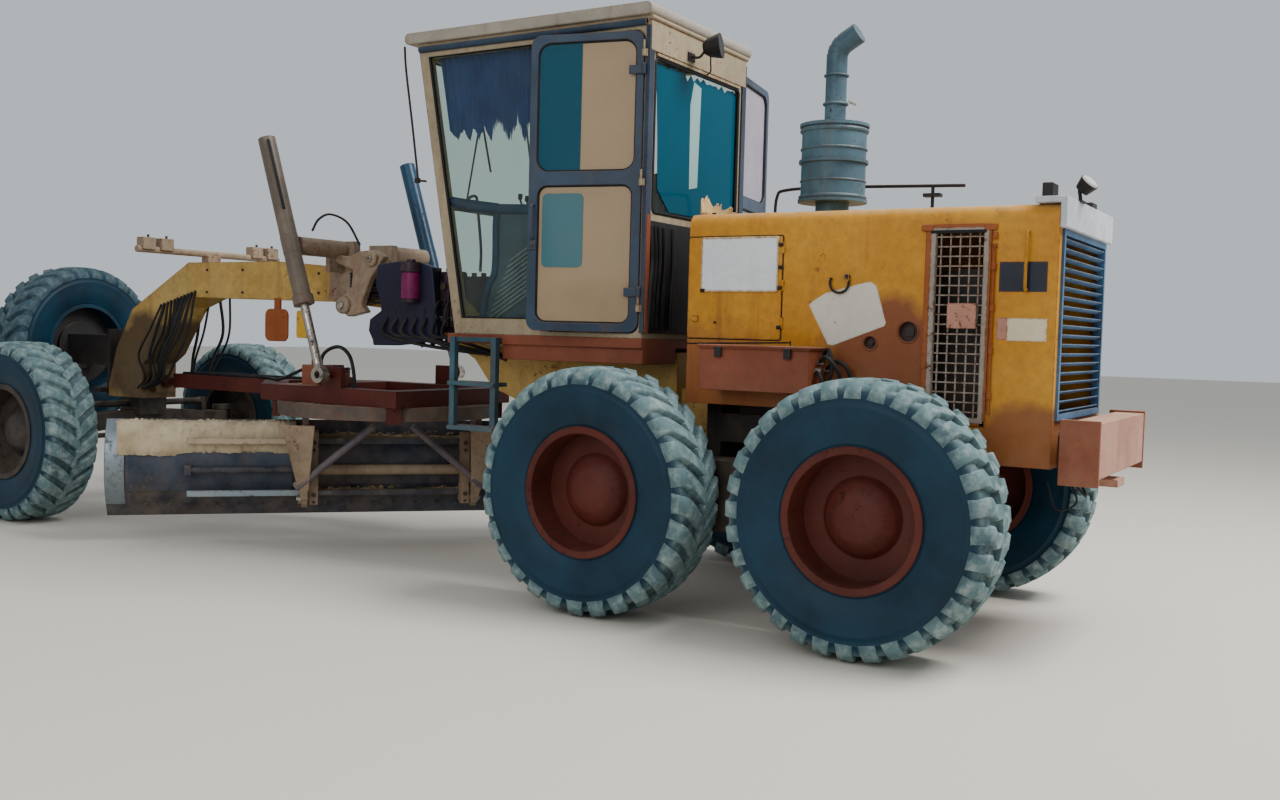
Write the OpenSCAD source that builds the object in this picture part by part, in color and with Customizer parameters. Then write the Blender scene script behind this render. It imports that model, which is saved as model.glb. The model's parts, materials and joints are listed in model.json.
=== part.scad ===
// Articulated motor grader with a tandem drive, stored as it stands parked, with its blade
// lifted and turned. Millimetres. +X is forwards, +Y is the driver's left, +Z is up.
// The ground is z = 0. Lengths along X are given from the middle of the tandem, and
// every piece is then moved back by origin_x, so that the origin is under the middle
// of the machine.

/* [Chassis] */
// Distance from the middle of the tandem to the front axle
wheelbase = 5917; // [5850:1:6000]
// Distance between the two axles of a tandem
tandem_spacing = 1523; // [1480:1:1560]
// Track of the tandem wheels, centre to centre
rear_track = 2000; // [1980:1:2040]
// Track of the front wheels, centre to centre
front_track = 2100; // [2080:1:2140]
// Articulation pin, ahead of the middle of the tandem
hitch_x = 600; // [590:1:610]
// Radius of the articulation pin
hitch_pin_r = 50; // [40:1:60]
// Half width of the main beam
beam_half = 160; // [140:1:175]
// Half width over the rear frame's rails
rail_half = 400; // [380:1:410]
// Width of one rail
rail_w = 120; // [90:1:140]
// Underside of the rails above the ground
rail_z0 = 930; // [925:1:945]
// Height of the rails
rail_h = 160; // [120:1:165]

/* [Wheels] */
// Diameter of a tyre over its lugs
tyre_d = 1350; // [1320:1:1360]
// Width of a tyre
tyre_w = 400; // [370:1:410]
// Height of a tread lug
lug_h = 35; // [20:1:45]
// Lugs on each shoulder of a tyre
lugs = 16; // [14:1:24]
// Diameter of a rim over its flanges
rim_d = 706; // [680:1:730]
// Radius of the axle stubs that carry the tandem wheels
stub_r = 110; // [90:1:130]

/* [Hood] */
// Half width of the hood
hood_half = 550; // [530:1:560]
// Height of the hood's top above the ground
hood_top = 2200; // [2150:1:2250]
// Rear end of the hood, behind the middle of the tandem
hood_rear = 1520; // [1480:1:1540]
// Front end of the hood, ahead of the middle of the tandem
hood_front = 480; // [440:1:490]
// Thickness of the hood's panels and their frames
hood_wall = 30; // [20:1:40]
// Rear end of the bumper, behind the middle of the tandem
bumper_rear = 1750; // [1700:1:1800]

/* [Cab] */
// Half width of the cab
cab_half = 600; // [580:1:615]
// Rear wall of the cab, ahead of the middle of the tandem
cab_rear = 750; // [750:1:765]
// Foot of the cab's front wall
cab_front = 2110; // [2080:1:2140]
// How far the front wall leans forwards over its height
cab_lean = 340; // [280:1:360]
// Top of the cab's floor
floor_z = 1500; // [1495:1:1510]
// Underside of the cab's roof
eave_z = 3310; // [3280:1:3330]
// Top of the roof cap
roof_z = 3380; // [3360:1:3400]
// Thickness of the cab's posts and walls
cab_wall = 50; // [40:1:60]
// Width of a door
door_w = 700; // [680:1:710]
// How far the right door stands open, in degrees
right_door_open = 80; // [60:1:90]
// How far the left door stands open, in degrees
left_door_open = 12; // [8:1:20]

/* [Blade] */
// Length of the moldboard
blade_len = 3658; // [3600:1:3700]
// Radius of the moldboard's curve
blade_r = 413; // [405:1:420]
// Thickness of the moldboard's plate
blade_t = 22; // [16:1:25]
// How far the blade is turned, in degrees, left end forwards
blade_angle = 43; // [38:1:45]
// Height of the cutting edge above the ground, as it is parked
blade_lift = 200; // [180:1:220]
// Centre of the circle, ahead of the middle of the tandem
circle_x = 3200; // [3180:1:3220]
// Outer radius of the circle
circle_r = 765; // [740:1:780]
// Radial width of the circle's ring
circle_w = 125; // [100:1:140]
// Underside of the drawbar's beams, which the circle's ring runs under
circle_z = 1000; // [995:1:1005]
// Height of the circle's ring
circle_h = 90; // [70:1:95]
// Teeth inside the circle's ring
circle_teeth = 48; // [36:1:60]
// Ball joint at the drawbar's front end, behind the front axle
ball_back = 297; // [292:1:307]
// Height of the ball joint
ball_z = 1040; // [1030:1:1045]
// Radius of the ball
ball_r = 55; // [50:1:60]

/* [Lift cylinders] */
// Half distance between the two lift cylinders
lift_half = 700; // [695:1:710]
// Yoke of a lift cylinder, ahead of the middle of the tandem
yoke_x = 3460; // [3440:1:3480]
// Height of the yoke
yoke_z = 2060; // [2050:1:2080]
// Pin that holds the rod's eye, ahead of the middle of the tandem
eye_x = 3170; // [3150:1:3190]
// Height of the rod's eye
eye_z = 1200; // [1195:1:1210]
// Radius of a lift cylinder's barrel
barrel_r = 58; // [54:1:60]
// Radius of a lift cylinder's rod
rod_r = 30; // [25:1:34]

/* [Spare tyre] */
// Front face of the spare tyre, ahead of the front axle
spare_reach = 1105; // [1105:1:1150]
// Height of the spare tyre's middle
spare_z = 1300; // [1290:1:1320]

/* [Hidden] */
$fn = 48;

// Colours, as the photograph shows them
yellow = "#c9952f";
orange_brown = "#a4532b";
rust_red = "#7d3a2c";
tan_paint = "#b99a72";
tyre_black = "#2f3b40";
dark_steel = "#32363c";
cream = "#cbbd95";
glass_green = "#9fc4b2";
bare_steel = "#8d9096";

// Places that follow from the sizes above
spare_front = wheelbase + spare_reach;
ball_x = wheelbase - ball_back;
origin_x = (spare_front - bumper_rear) / 2;
tyre_r = tyre_d / 2;
axle_z = tyre_r;
half_tandem = tandem_spacing / 2;
hub_y = 60;
flange_t = 12;
bead_r = rim_d / 2 - 27;
bead_half = tyre_w / 2 * 0.82;
lug_base = tyre_r - lug_h;
lug_top = tyre_r;
running_gap = 0.3;
pin_gap = 0.05;
clear = 5;
rear_inner = rear_track / 2 - tyre_w / 2;
case_y1 = rear_inner - 30;
case_y0 = case_y1 - 200;
case_r = 190;
axle_r = 175;
rail_top = rail_z0 + rail_h;
outrigger_x = [-1400, -950, -520];
bumper_front = -1600;
tow_x = -1700;
tow_z = [820, 860];
tow_r = 20;
lash_x = wheelbase + 283;
lash_y = 195;
lash_z = [930, 970];
lash_r = 22;
hood_z0 = rail_z0;
edge_r = 70;
grille_x = [-1190, -900];
grille_z = [1130, 2090];
// X, height and radius of each hole in the hood's side
side_holes = [[-596, 1510, 34], [-795, 1571, 52]];
side_door_x = -89;
side_door_z = [1513, 2066];
rear_open_half = 500;
rear_open_z = [1160, 2080];
kingpin_y = front_track / 2 - 270;
kingpin_r = 40;
arm_back = 220;
arm_in = 40;
front_hub = front_track / 2 - hub_y - running_gap;
lug_z = [806, 1204];
nose_x = wheelbase + 233;
beam_top = 1990;
light_x = wheelbase - 817;
axle_low = 620;
axle_high = 760;
lean_bar_z = 850;
lug_plate = 40;
lug_r = 130;
door_hinge_x = cab_rear + 20;
door_z = [floor_z + 30, eave_z - 80];
door_t = 45;
door_frame = 45;
door_round = 60;
door_mid = 2400;
post_w = 80;
side_back = door_hinge_x + door_w + 60;
side_win_z = [floor_z + 100, eave_z - 90];
rear_win_z = [2220, eave_z - 220];
front_win_z = [[floor_z + 100, 2290], [2350, eave_z - 90]];
pane_t = 6;
pane_in = 30;
hinge_z = [1650, 2360, 3080];
hinge_out = 16;
hinge_r = 12;
hinge_pin_r = 6;
hinge_h = 50;
spare_x = spare_front - tyre_w / 2;
drawbar_z = [circle_z, circle_z + 110];
ring_z = circle_z - running_gap - circle_h;
drawbar_y = [470, 600];
tooth_h = 30;
tooth_tip_r = circle_r - circle_w - tooth_h;
pinion_r = 70;
pinion_x = tooth_tip_r - clear - pinion_r;
shoe_lip = 20;
edge_x = 150;
edge_rake = 40;
edge_len = 110;
blade_cx = edge_x + blade_r * cos(edge_rake) - edge_len * sin(edge_rake);
blade_cz = blade_lift + blade_r * sin(edge_rake) + edge_len * cos(edge_rake);
blade_top_angle = 45;
blade_back = blade_cx - blade_r - blade_t;
side_shift = (blade_back + edge_x) / 2 * tan(blade_angle);
tip_x = -180;
tip_z = 330;
arm_y = [560, 600];
rail_x = [-105, -75];
rail_zs = [340, 700];
rail_t = 40;
rail_reach = 1300;
slide_y = [490, 550];
shift_x = -100;
shift_z = 520;
shift_r = 36;
shift_rod_r = 20;
shift_lug_y = 1345;
shift_barrel = [-700, 600];
shift_rod_end = 40;
lift_dx = yoke_x - eye_x;
lift_dz = yoke_z - eye_z;
lift_len = sqrt(lift_dx * lift_dx + lift_dz * lift_dz);
lift_lean = atan2(lift_dx, lift_dz);
barrel_low = 420;
barrel_high = 760;
rod_top = 518;

// A block between two corners, with X from the middle of the tandem
module block(x, y, z) {
    translate([x[0] - origin_x, y[0], z[0]]) cube([x[1] - x[0], y[1] - y[0], z[1] - z[0]]);
}

// Places its children at a point, with X from the middle of the tandem
module at(x, y, z) {
    translate([x - origin_x, y, z]) children();
}

// A side outline in X and Z, given a thickness along Y
module side_plate(points, y) {
    translate([-origin_x, y[1], 0]) rotate([90, 0, 0]) linear_extrude(y[1] - y[0]) polygon(points);
}

// A rectangle in its own plane with round corners
function rounded_rect(x, z, r) = [for (c = [[x[1] - r, z[0] + r, -90], [x[1] - r, z[1] - r, 0],
    [x[0] + r, z[1] - r, 90], [x[0] + r, z[0] + r, 180]], a = [0:22.5:90])
        [c[0] + r * cos(c[2] + a), c[1] + r * sin(c[2] + a)]];

// A ring of teeth as one outline: each tooth has two points on the root circle and two on the tip circle
function toothed(count, root, tip, root_share, tip_share) = [for (i = [0:count - 1], c = [[root, -root_share],
    [tip, -tip_share], [tip, tip_share], [root, root_share]])
        c[0] * [cos((i + c[1]) * 360 / count), sin((i + c[1]) * 360 / count)]];

// A plan outline in X and Y, given a thickness along Z
module plan_plate(points, z) {
    translate([-origin_x, 0, z[0]]) linear_extrude(z[1] - z[0]) polygon(points);
}

// A round bar along Y between two places
module bar_y(x, z, r, y) {
    at(x, y[0], z) rotate([-90, 0, 0]) cylinder(r = r, h = y[1] - y[0]);
}

module both_sides() {
    children();
    mirror([0, 1, 0]) children();
}

function mirrored(points) = concat(points, [for (i = [len(points) - 1:-1:0]) [points[i][0], -points[i][1]]]);

// Wheels. Each section is drawn with the radius along X and the axle along Y.
module tyre_section() {
    half = tyre_w / 2;
    polygon(mirrored([[bead_r, bead_half], [rim_d / 2 + 6, bead_half], [tyre_r * 0.72, half],
        [lug_base, half * 0.84]]));
}

// The lugs of one shoulder as teeth on a ring, between two distances from the tyre's middle
module shoulder_lugs(y, turn) {
    width = y[1] - y[0];
    translate([0, y[1], 0]) rotate([90, turn, 0]) difference() {
        linear_extrude(width) polygon(toothed(lugs, lug_base - 100, lug_top, 0.30, 0.23));
        translate([0, 0, -1]) cylinder(r = lug_base - 125, h = width + 2);
    }
}

// A carcass with lugs on both shoulders, half a pitch apart
module tyre() {
    shoulder = tyre_w / 2 * 0.92;
    color(tyre_black) {
        rotate([-90, 0, 0]) rotate_extrude($fn = 2 * lugs) tyre_section();
        shoulder_lugs([0, shoulder], 0);
        shoulder_lugs([-shoulder, 0], 180 / lugs);
    }
}

// The rim's outboard side is +Y here: its disc is set back inside a deep barrel
module rim() {
    flange = rim_d / 2;
    seat = bead_r - running_gap;
    lip = bead_half + running_gap;
    inner = seat - flange_t;
    color(rust_red) rotate([-90, 0, 0]) rotate_extrude()
        polygon([[0, -hub_y], [150, -hub_y], [190, -30], [inner, -30], [inner, -lip - flange_t],
            [flange, -lip - flange_t], [flange, -lip], [seat, -lip], [seat, lip], [flange, lip],
            [flange, lip + flange_t], [inner, lip + flange_t], [inner - 10, 0], [200, 0], [170, 40], [110, 78], [0, 90]]);
}

module wheel_place(x, side, track) {
    at(x, side * track / 2, axle_z) mirror([0, side < 0 ? 1 : 0, 0]) children();
}

// Rear frame, with the articulation pin and its two plates, and the rear axle's housing
module rear_frame() {
    color(dark_steel) {
        both_sides() block([-1600, hitch_x - 180], [rail_half - rail_w, rail_half], [rail_z0, rail_top]);
        block([-1600, -1540], [-rail_half, rail_half], [rail_z0, rail_top]);
        block([hitch_x - 270, hitch_x - 180], [-rail_half, rail_half], [lug_z[0] - 100, lug_z[1] + 100]);
        for (z = [lug_z[0] - lug_plate - clear, lug_z[1] + clear]) {
            block([hitch_x - 181, hitch_x], [-lug_r, lug_r], [z, z + lug_plate]);
            at(hitch_x, 0, z) cylinder(r = lug_r, h = lug_plate);
        }
        at(hitch_x, 0, lug_z[0] - lug_plate - 25) cylinder(r = hitch_pin_r, h = lug_z[1] - lug_z[0] + 2 * lug_plate + 50);
        bar_y(0, axle_z, axle_r, [-case_y0, case_y0]);
        block([-150, 150], [-rail_half, rail_half], [axle_z + 60, rail_z0 + 20]);
        for (x = outrigger_x)
            both_sides() block([x, x + 60], [rail_half - 1, hood_half - hood_wall], [rail_top - 60, rail_top]);
        both_sides() block([hitch_x - 270, hitch_x - 180], [rail_half - 1, hood_half - hood_wall], [1180, 1240]);
    }
}

module tandem_cases() {
    color(dark_steel) both_sides() {
        block([-half_tandem, half_tandem], [case_y0, case_y1], [axle_z - case_r, axle_z + case_r]);
        for (x = [-half_tandem, half_tandem]) {
            bar_y(x, axle_z, case_r, [case_y0, case_y1]);
            bar_y(x, axle_z, stub_r, [case_y1 - 1, rear_track / 2 - hub_y - running_gap]);
        }
        // round cover of the pivot, and the filler plate over it
        bar_y(0, axle_z, 150, [case_y1 - 1, case_y1 + 12]);
        block([-60, 60], [case_y0 + 60, case_y1 - 60], [axle_z + case_r - 1, axle_z + case_r + 12]);
    }
}

module engine_block() {
    color(dark_steel) block([-1250, 250], [-330, 330], [rail_top, 1900]);
}

// The hood's section in Y and Z, with round top edges
module hood_section(half, z0, z1, r) {
    polygon(concat([[half, z0]], [for (a = [0:15:90]) [half - r + r * cos(a), z1 - r + r * sin(a)]],
        [for (a = [90:15:180]) [-half + r + r * cos(a), z1 - r + r * sin(a)]], [[-half, z0]]));
}

module along_x(x) {
    translate([x[0] - origin_x, 0, 0]) rotate([90, 0, 90]) linear_extrude(x[1] - x[0]) children();
}

module hood() {
    inner = hood_half - hood_wall;
    color(yellow) difference() {
        along_x([-hood_rear, hood_front]) hood_section(hood_half, hood_z0, hood_top, edge_r);
        along_x([-hood_rear + hood_wall, hood_front - hood_wall])
            hood_section(inner, hood_z0 - 1, hood_top - hood_wall, edge_r - hood_wall);
        block([-430, hood_front + 1], [-hood_half - 1, hood_half + 1], [hood_z0 - 1, 1150]);
        block([hood_front - 60, hood_front + 1], [-rail_half - clear, rail_half + clear], [hood_z0 - 1, 1320]);
        block([-hood_rear - 1, -hood_rear + hood_wall + 1], [-rail_half - clear, rail_half + clear],
            [hood_z0 - 1, rail_top + clear]);
        block(grille_x, [-hood_half - 1, hood_half + 1], grille_z);
        block([-hood_rear - 1, -hood_rear + hood_wall + 1], [-rear_open_half, rear_open_half], rear_open_z);
        for (c = side_holes) bar_y(c[0], c[1], c[2], [-hood_half - 1, hood_half + 1]);
    }
    color(yellow) both_sides() {
        side_plate(rounded_rect([side_door_x, hood_front - 2], side_door_z, 12), [hood_half - 1, hood_half + 6]);
        for (z = [side_door_z[0] + 60 : 200 : side_door_z[1] - 60]) at(side_door_x - 4, hood_half + 3, z)
            cylinder(r = 9, h = 60);
        block([hood_front - 70, hood_front - 30], [hood_half + 5, hood_half + 16], [side_door_z[0] + 90, side_door_z[0] + 120]);
    }
}

module hood_cap() {
    cap_t = 30;
    color("#cfd3d8") {
        block([-hood_rear - cap_t, -hood_rear + 120], [-hood_half - 10, hood_half + 10], [hood_top, hood_top + cap_t]);
        block([-hood_rear - cap_t, -hood_rear], [-hood_half - 10, hood_half + 10], [rear_open_z[1], hood_top + 1]);
    }
}

module side_grilles() {
    rim_w = 25;
    pitch = 48;
    wire = 7;
    x = [grille_x[0], grille_x[1]];
    z = [grille_z[0], grille_z[1]];
    color("#6b4a38") both_sides() {
        difference() {
            block(x, [hood_half - 20, hood_half + 12], z);
            block([x[0] + rim_w, x[1] - rim_w], [hood_half - 21, hood_half + 13], [z[0] + rim_w, z[1] - rim_w]);
        }
        for (i = [1:floor((x[1] - x[0] - rim_w) / pitch)])
            block([x[0] + i * pitch, x[0] + i * pitch + wire], [hood_half - 14, hood_half - 14 + wire], z);
        for (i = [1:floor((z[1] - z[0] - rim_w) / pitch)])
            block(x, [hood_half - 14 + wire / 2, hood_half - 14 + wire * 1.5], [z[0] + i * pitch, z[0] + i * pitch + wire]);
    }
}

module radiator_grille() {
    rim_w = 30;
    pitch = 46;
    y = [-rear_open_half, rear_open_half];
    z = rear_open_z;
    color("#2b3f58") {
        difference() {
            block([-hood_rear - 12, -hood_rear + hood_wall], y, z);
            block([-hood_rear - 13, -hood_rear + hood_wall + 1], [y[0] + rim_w, y[1] - rim_w], [z[0] + rim_w, z[1] - rim_w]);
        }
        for (i = [1:floor((z[1] - z[0] - rim_w) / pitch)])
            at(-hood_rear - 6, 0, z[0] + i * pitch) rotate([0, 28, 0]) translate([-2, y[0] + rim_w - 2, -2])
                cube([30, y[1] - y[0] - 2 * rim_w + 4, 5]);
    }
}

module bumper() {
    color("#b98a72") {
        block([-bumper_rear, bumper_front], [-600, 600], [900, 1165]);
        block([-1640, bumper_front], [-90, 90], [tow_z[0], 901]);
        difference() {
            block([-bumper_rear, bumper_front], [-90, 90], tow_z);
            at(tow_x, 0, tow_z[0] - 1) cylinder(r = tow_r, h = tow_z[1] - tow_z[0] + 2);
        }
    }
}

module silencer() {
    drum_r = 183;
    pipe_r = 60;
    bend_r = 100;
    bend = 60;
    color("#5d7078") at(-110, -50, 0) {
        translate([0, 0, hood_top]) cylinder(r = 95, h = 110);
        translate([0, 0, 2300]) cylinder(r = drum_r, h = 440);
        for (z = [2300, 2520, 2725]) translate([0, 0, z]) cylinder(r = drum_r + 14, h = 18);
        translate([0, 0, 2739]) cylinder(r = pipe_r, h = 381);
        for (a = [0:bend / 3:bend]) translate([-bend_r, 0, 3119]) rotate([0, -a, 0]) translate([bend_r, 0, 0]) {
            sphere(r = pipe_r);
            cylinder(r = pipe_r, h = a < bend ? bend_r * tan(bend / 6) * 1.2 : 91);
        }
    }
}

module tool_boxes() {
    color(orange_brown) both_sides() {
        block([-360, 270], [hood_half, 780], [1240, 1460]);
        block([-365, 275], [hood_half, 790], [1459, 1475]);
    }
}

module rear_lamps() {
    color(dark_steel) both_sides() {
        block([-1470, -1420], [400, 520], [hood_top + 30, hood_top + 100]);
    }
}

// The main beam, from the articulation lug under the cab, over the blade and down to the axle
module front_frame() {
    outline = [[760, 850], [1250, 960], [1700, 990], [2150, 1150], [2300, 1330], [2800, 1600],
        [yoke_x - 310, 1660], [yoke_x + 100, 1700], [nose_x - 1050, 1720], [nose_x - 820, 1640],
        [nose_x - 550, 1260], [nose_x - 430, 1180], [nose_x - 430, 900], [nose_x, 900], [nose_x, 1000],
        [nose_x - 100, 1300], [nose_x - 300, 1620], [nose_x - 980, beam_top], [yoke_x + 700, beam_top],
        [yoke_x + 110, 1945], [yoke_x - 410, 1890], [2700, 1780], [2260, 1420], [760, 1420]];
    color(yellow) difference() {
        union() {
            side_plate(outline, [-beam_half, beam_half]);
            block([hitch_x, 761], [-100, 100], lug_z);
            at(hitch_x, 0, lug_z[0]) cylinder(r = 100, h = lug_z[1] - lug_z[0]);
            block([ball_x + 20, nose_x - 429], [-90, 90], [ball_z - 90, ball_z + 90]);
        }
        at(hitch_x, 0, lug_z[0] - 1) cylinder(r = hitch_pin_r + pin_gap, h = lug_z[1] - lug_z[0] + 2);
        at(ball_x, 0, ball_z) sphere(r = ball_r + running_gap);
        block([ball_x - 20, ball_x + 20], [-90, 90], [ball_z - 90, ball_z + 90]);
    }
}

module cab_floor() {
    color(orange_brown) {
        block([cab_rear, cab_front + 60], [-cab_half, cab_half], [1440, floor_z]);
        both_sides() block([cab_rear, 1750], [beam_half + 40, cab_half - 20], [1350, 1441]);
        block([cab_rear + 100, cab_front - 100], [-beam_half - 60, beam_half + 60], [1420, 1441]);
    }
}

// The cab's side outline, drawn inside its outer face by a margin
function cab_outline(m) = [[cab_rear + m, floor_z + (m > 0 ? -1 : 0)],
    [cab_front - m - cab_lean * (m > 0 ? 1 : 0) / (eave_z - floor_z), floor_z + (m > 0 ? -1 : 0)],
    [cab_front + cab_lean - m, eave_z + (m > 0 ? 1 : 0)], [cab_rear + m, eave_z + (m > 0 ? 1 : 0)]];

// X of the front wall's outer face at a height
function front_x(z) = cab_front + cab_lean * (z - floor_z) / (eave_z - floor_z);

module cab_shell() {
    color(cream) both_sides() for (z = hinge_z) {
        block([cab_rear + 2, door_hinge_x], [cab_half - 1, cab_half + hinge_out], [z, z + 40]);
        at(door_hinge_x, cab_half + hinge_out, z) {
            cylinder(r = hinge_r, h = 40);
            cylinder(r = hinge_pin_r, h = 40 + hinge_h);
        }
    }
    window_half = cab_half - post_w;
    color(cream) difference() {
        side_plate(cab_outline(0), [-cab_half, cab_half]);
        side_plate(cab_outline(cab_wall), [-cab_half + cab_wall, cab_half - cab_wall]);
        // side windows ahead of the doors
        side_plate(side_window(0), [-cab_half - 1, cab_half + 1]);
        // doorways
        side_plate(rounded_rect([door_hinge_x, door_hinge_x + door_w + 10], [door_z[0] - clear, door_z[1] + clear],
            door_round), [-cab_half - 1, cab_half + 1]);
        // rear window
        along_x([cab_rear - 1, cab_rear + cab_wall + 1])
            polygon(rounded_rect([-window_half, window_half], rear_win_z, 30));
        // front windows, upper and lower
        for (z = front_win_z) along_x([cab_front - 100, cab_front + 500])
            polygon(rounded_rect([-window_half, window_half], z, 30));
    }
    // rain gutters over the doors, and the ledge over the rear window
    color(cream) {
        both_sides() block([cab_rear + 10, cab_front + cab_lean - 30], [cab_half - 1, cab_half + 14],
            [eave_z - 45, eave_z - 30]);
        block([cab_rear - 14, cab_rear + 1], [-window_half, window_half], [rear_win_z[1] + 8, rear_win_z[1] + 24]);
    }
}

// A side window's corners, drawn back from its edges by a margin
function side_window(m) = [[side_back + m, side_win_z[0] + m], [front_x(side_win_z[0]) - post_w - m, side_win_z[0] + m],
    [front_x(side_win_z[1]) - post_w - m, side_win_z[1] - m], [side_back + m, side_win_z[1] - m]];

module cab_roof() {
    color("#d8d2bd") {
        side_plate(rounded_rect([cab_rear - 30, cab_front + cab_lean + 90], [eave_z, roof_z], 30),
            [-cab_half - 30, cab_half + 30]);
    }
}

module cab_glass() {
    window_half = cab_half - post_w;
    color(glass_green, 0.4) {
        both_sides() side_plate(side_window(0), [cab_half - pane_in, cab_half - pane_in + pane_t]);
        along_x([cab_rear + pane_in - 10, cab_rear + pane_in - 10 + pane_t])
            polygon(rounded_rect([-window_half, window_half], rear_win_z, 30));
        for (z = front_win_z) intersection() {
            side_plate([for (c = [[0, 0], [pane_t, 0], [pane_t, 1], [0, 1]])
                [front_x(z[c[1]]) - pane_in + c[0], z[c[1]]]], [-window_half, window_half]);
            along_x([cab_front - 100, cab_front + 500]) polygon(rounded_rect([-window_half, window_half], z, 30));
        }
    }
}

module curtain() {
    color("#27406b") block([1560, 2230], [cab_half - cab_wall - 20, cab_half - cab_wall - running_gap],
        [2900, eave_z - running_gap]);
}

module seat() {
    color("#2c2f33") {
        at(1150, 0, floor_z) cylinder(r = 130, h = 260);
        block([900, 1400], [-250, 250], [floor_z + 259, floor_z + 400]);
        block([860, 980], [-250, 250], [floor_z + 399, floor_z + 1000]);
    }
}

module console() {
    color("#3b4450") {
        block([1720, 1880], [-120, 120], [floor_z, floor_z + 700]);
        at(1760, 0, floor_z + 690) rotate([0, -25, 0]) {
            cylinder(r = 20, h = 150);
            translate([0, 0, 140]) cylinder(r = 200, h = 25);
        }
    }
}

module steps() {
    color("#2f5a60") both_sides() {
        for (x = [1740, 2060]) block([x, x + 40], [cab_half + 20, cab_half + 60], [900, 1480]);
        for (z = [905, 1180]) block([1740, 2100], [cab_half - 60, cab_half + 80], [z, z + 25]);
        block([1740, 2100], [cab_half, cab_half + 40], [1450, 1480]);
    }
}

// Two banks of valves on the beam's sides: a body, its spools, and the pipes that lead forwards from it
module hydraulics() {
    bank_x = [2300, 2900];
    bank_z = [1500, 1900];
    bank_out = 330;
    spools = 7;
    pitch = (bank_x[1] - bank_x[0]) / spools;
    color("#4a3f4a") {
        both_sides() {
            block([bank_x[0] + 180, bank_x[1]], [beam_half, bank_out - 40], [bank_z[0] + 20, bank_z[1] - 20]);
            for (i = [0:spools - 1]) {
                x = bank_x[0] + i * pitch;
                block([x + 6, x + pitch - 6], [bank_out - 41, bank_out], [bank_z[0] + 40, bank_z[1] - 60]);
                at(x + pitch / 2, bank_out - 20, bank_z[1] - 61) cylinder(r = 16, h = 50);
                bar_y(x + pitch / 2, bank_z[0] + 90, 20, [bank_out - 1, bank_out + 30]);
                bar_y(x + pitch / 2, bank_z[0] + 200, 24, [bank_out - 1, bank_out + 16]);
            }
            block(bank_x, [bank_out - 60, bank_out - 40], bank_z);
            for (z = [1770, 1810, 1850]) at(bank_x[1] - 1, beam_half + 24, z) rotate([0, 90, 0])
                cylinder(r = 13, h = yoke_x - 130 - running_gap - bank_x[1] + 1);
        }
        // filter canister on its bracket, on the left
        at(2640, 420, 1690) cylinder(r = 60, h = 240);
        at(2640, 420, 1900) cylinder(r = 68, h = 55);
        block([2600, 2680], [bank_out - 1, 421], [1740, 1780]);
    }
}

module lift_arms() {
    color(tan_paint) {
        both_sides() {
            side_plate([[yoke_x - 130, 1700], [yoke_x + 130, 1715], [yoke_x + 110, 2120], [yoke_x - 110, 2120]],
                [beam_half, beam_half + 60]);
            difference() {
                bar_y(yoke_x, yoke_z, 62, [beam_half + 59, lift_half - 60 - clear]);
                bar_y(yoke_x, yoke_z, 30 + running_gap, [lift_half - 160, lift_half - 50]);
            }
        }
        block([yoke_x - 100, yoke_x + 100], [-beam_half - 60, beam_half + 60], [1950, 2010]);
        // a gusset under each yoke
        both_sides() block([yoke_x - 20, yoke_x + 20], [beam_half + 59, beam_half + 200], [1900, yoke_z - 20]);
    }
}

module light_bar() {
    color(tan_paint) {
        block([light_x - 40, light_x + 40], [-60, 60], [beam_top, beam_top + 60]);
        bar_y(light_x, beam_top + 70, 25, [-680, 680]);
        both_sides() for (y = [380, 540]) {
            block([light_x - 40, light_x + 40], [y, y + 110], [beam_top + 70, beam_top + 160]);
            block([light_x + 39, light_x + 52], [y + 8, y + 102], [beam_top + 78, beam_top + 152]);
        }
    }
}

// A closed outline from its upper and lower edges on the right, both drawn from end to end
function mirrored_pairs(upper, lower) = concat(upper, [for (i = [len(upper) - 1:-1:0]) [-upper[i][0], upper[i][1]]],
    [for (i = [len(lower) - 1:-1:0]) [-lower[i][0], lower[i][1]]], lower);

// The front axle: a beam that arches up at its middle, its bolster, and the lean bar above
module front_axle() {
    half = 70;
    arch = mirrored_pairs([[kingpin_y, axle_high], [kingpin_y - 150, axle_high], [300, axle_high + 30]],
        [[300, axle_low + 40], [kingpin_y - 150, axle_low], [kingpin_y, axle_low]]);
    color(dark_steel) difference() {
        union() {
            along_x([wheelbase - half, wheelbase + half]) polygon(arch);
            block([wheelbase - 120, wheelbase + 120], [-130, 130], [axle_high, 900]);
            bar_y(wheelbase, lean_bar_z, 26, [-600, 600]);
            both_sides() {
                block([wheelbase - 30, wheelbase + 30], [560, 600], [axle_high - 10, lean_bar_z + 30]);
                at(wheelbase, kingpin_y, axle_low) cylinder(r = 64, h = axle_high - axle_low);
            }
        }
        both_sides() at(wheelbase, kingpin_y, axle_low - 1)
            cylinder(r = kingpin_r + pin_gap, h = axle_high - axle_low + 2);
    }
}

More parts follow.
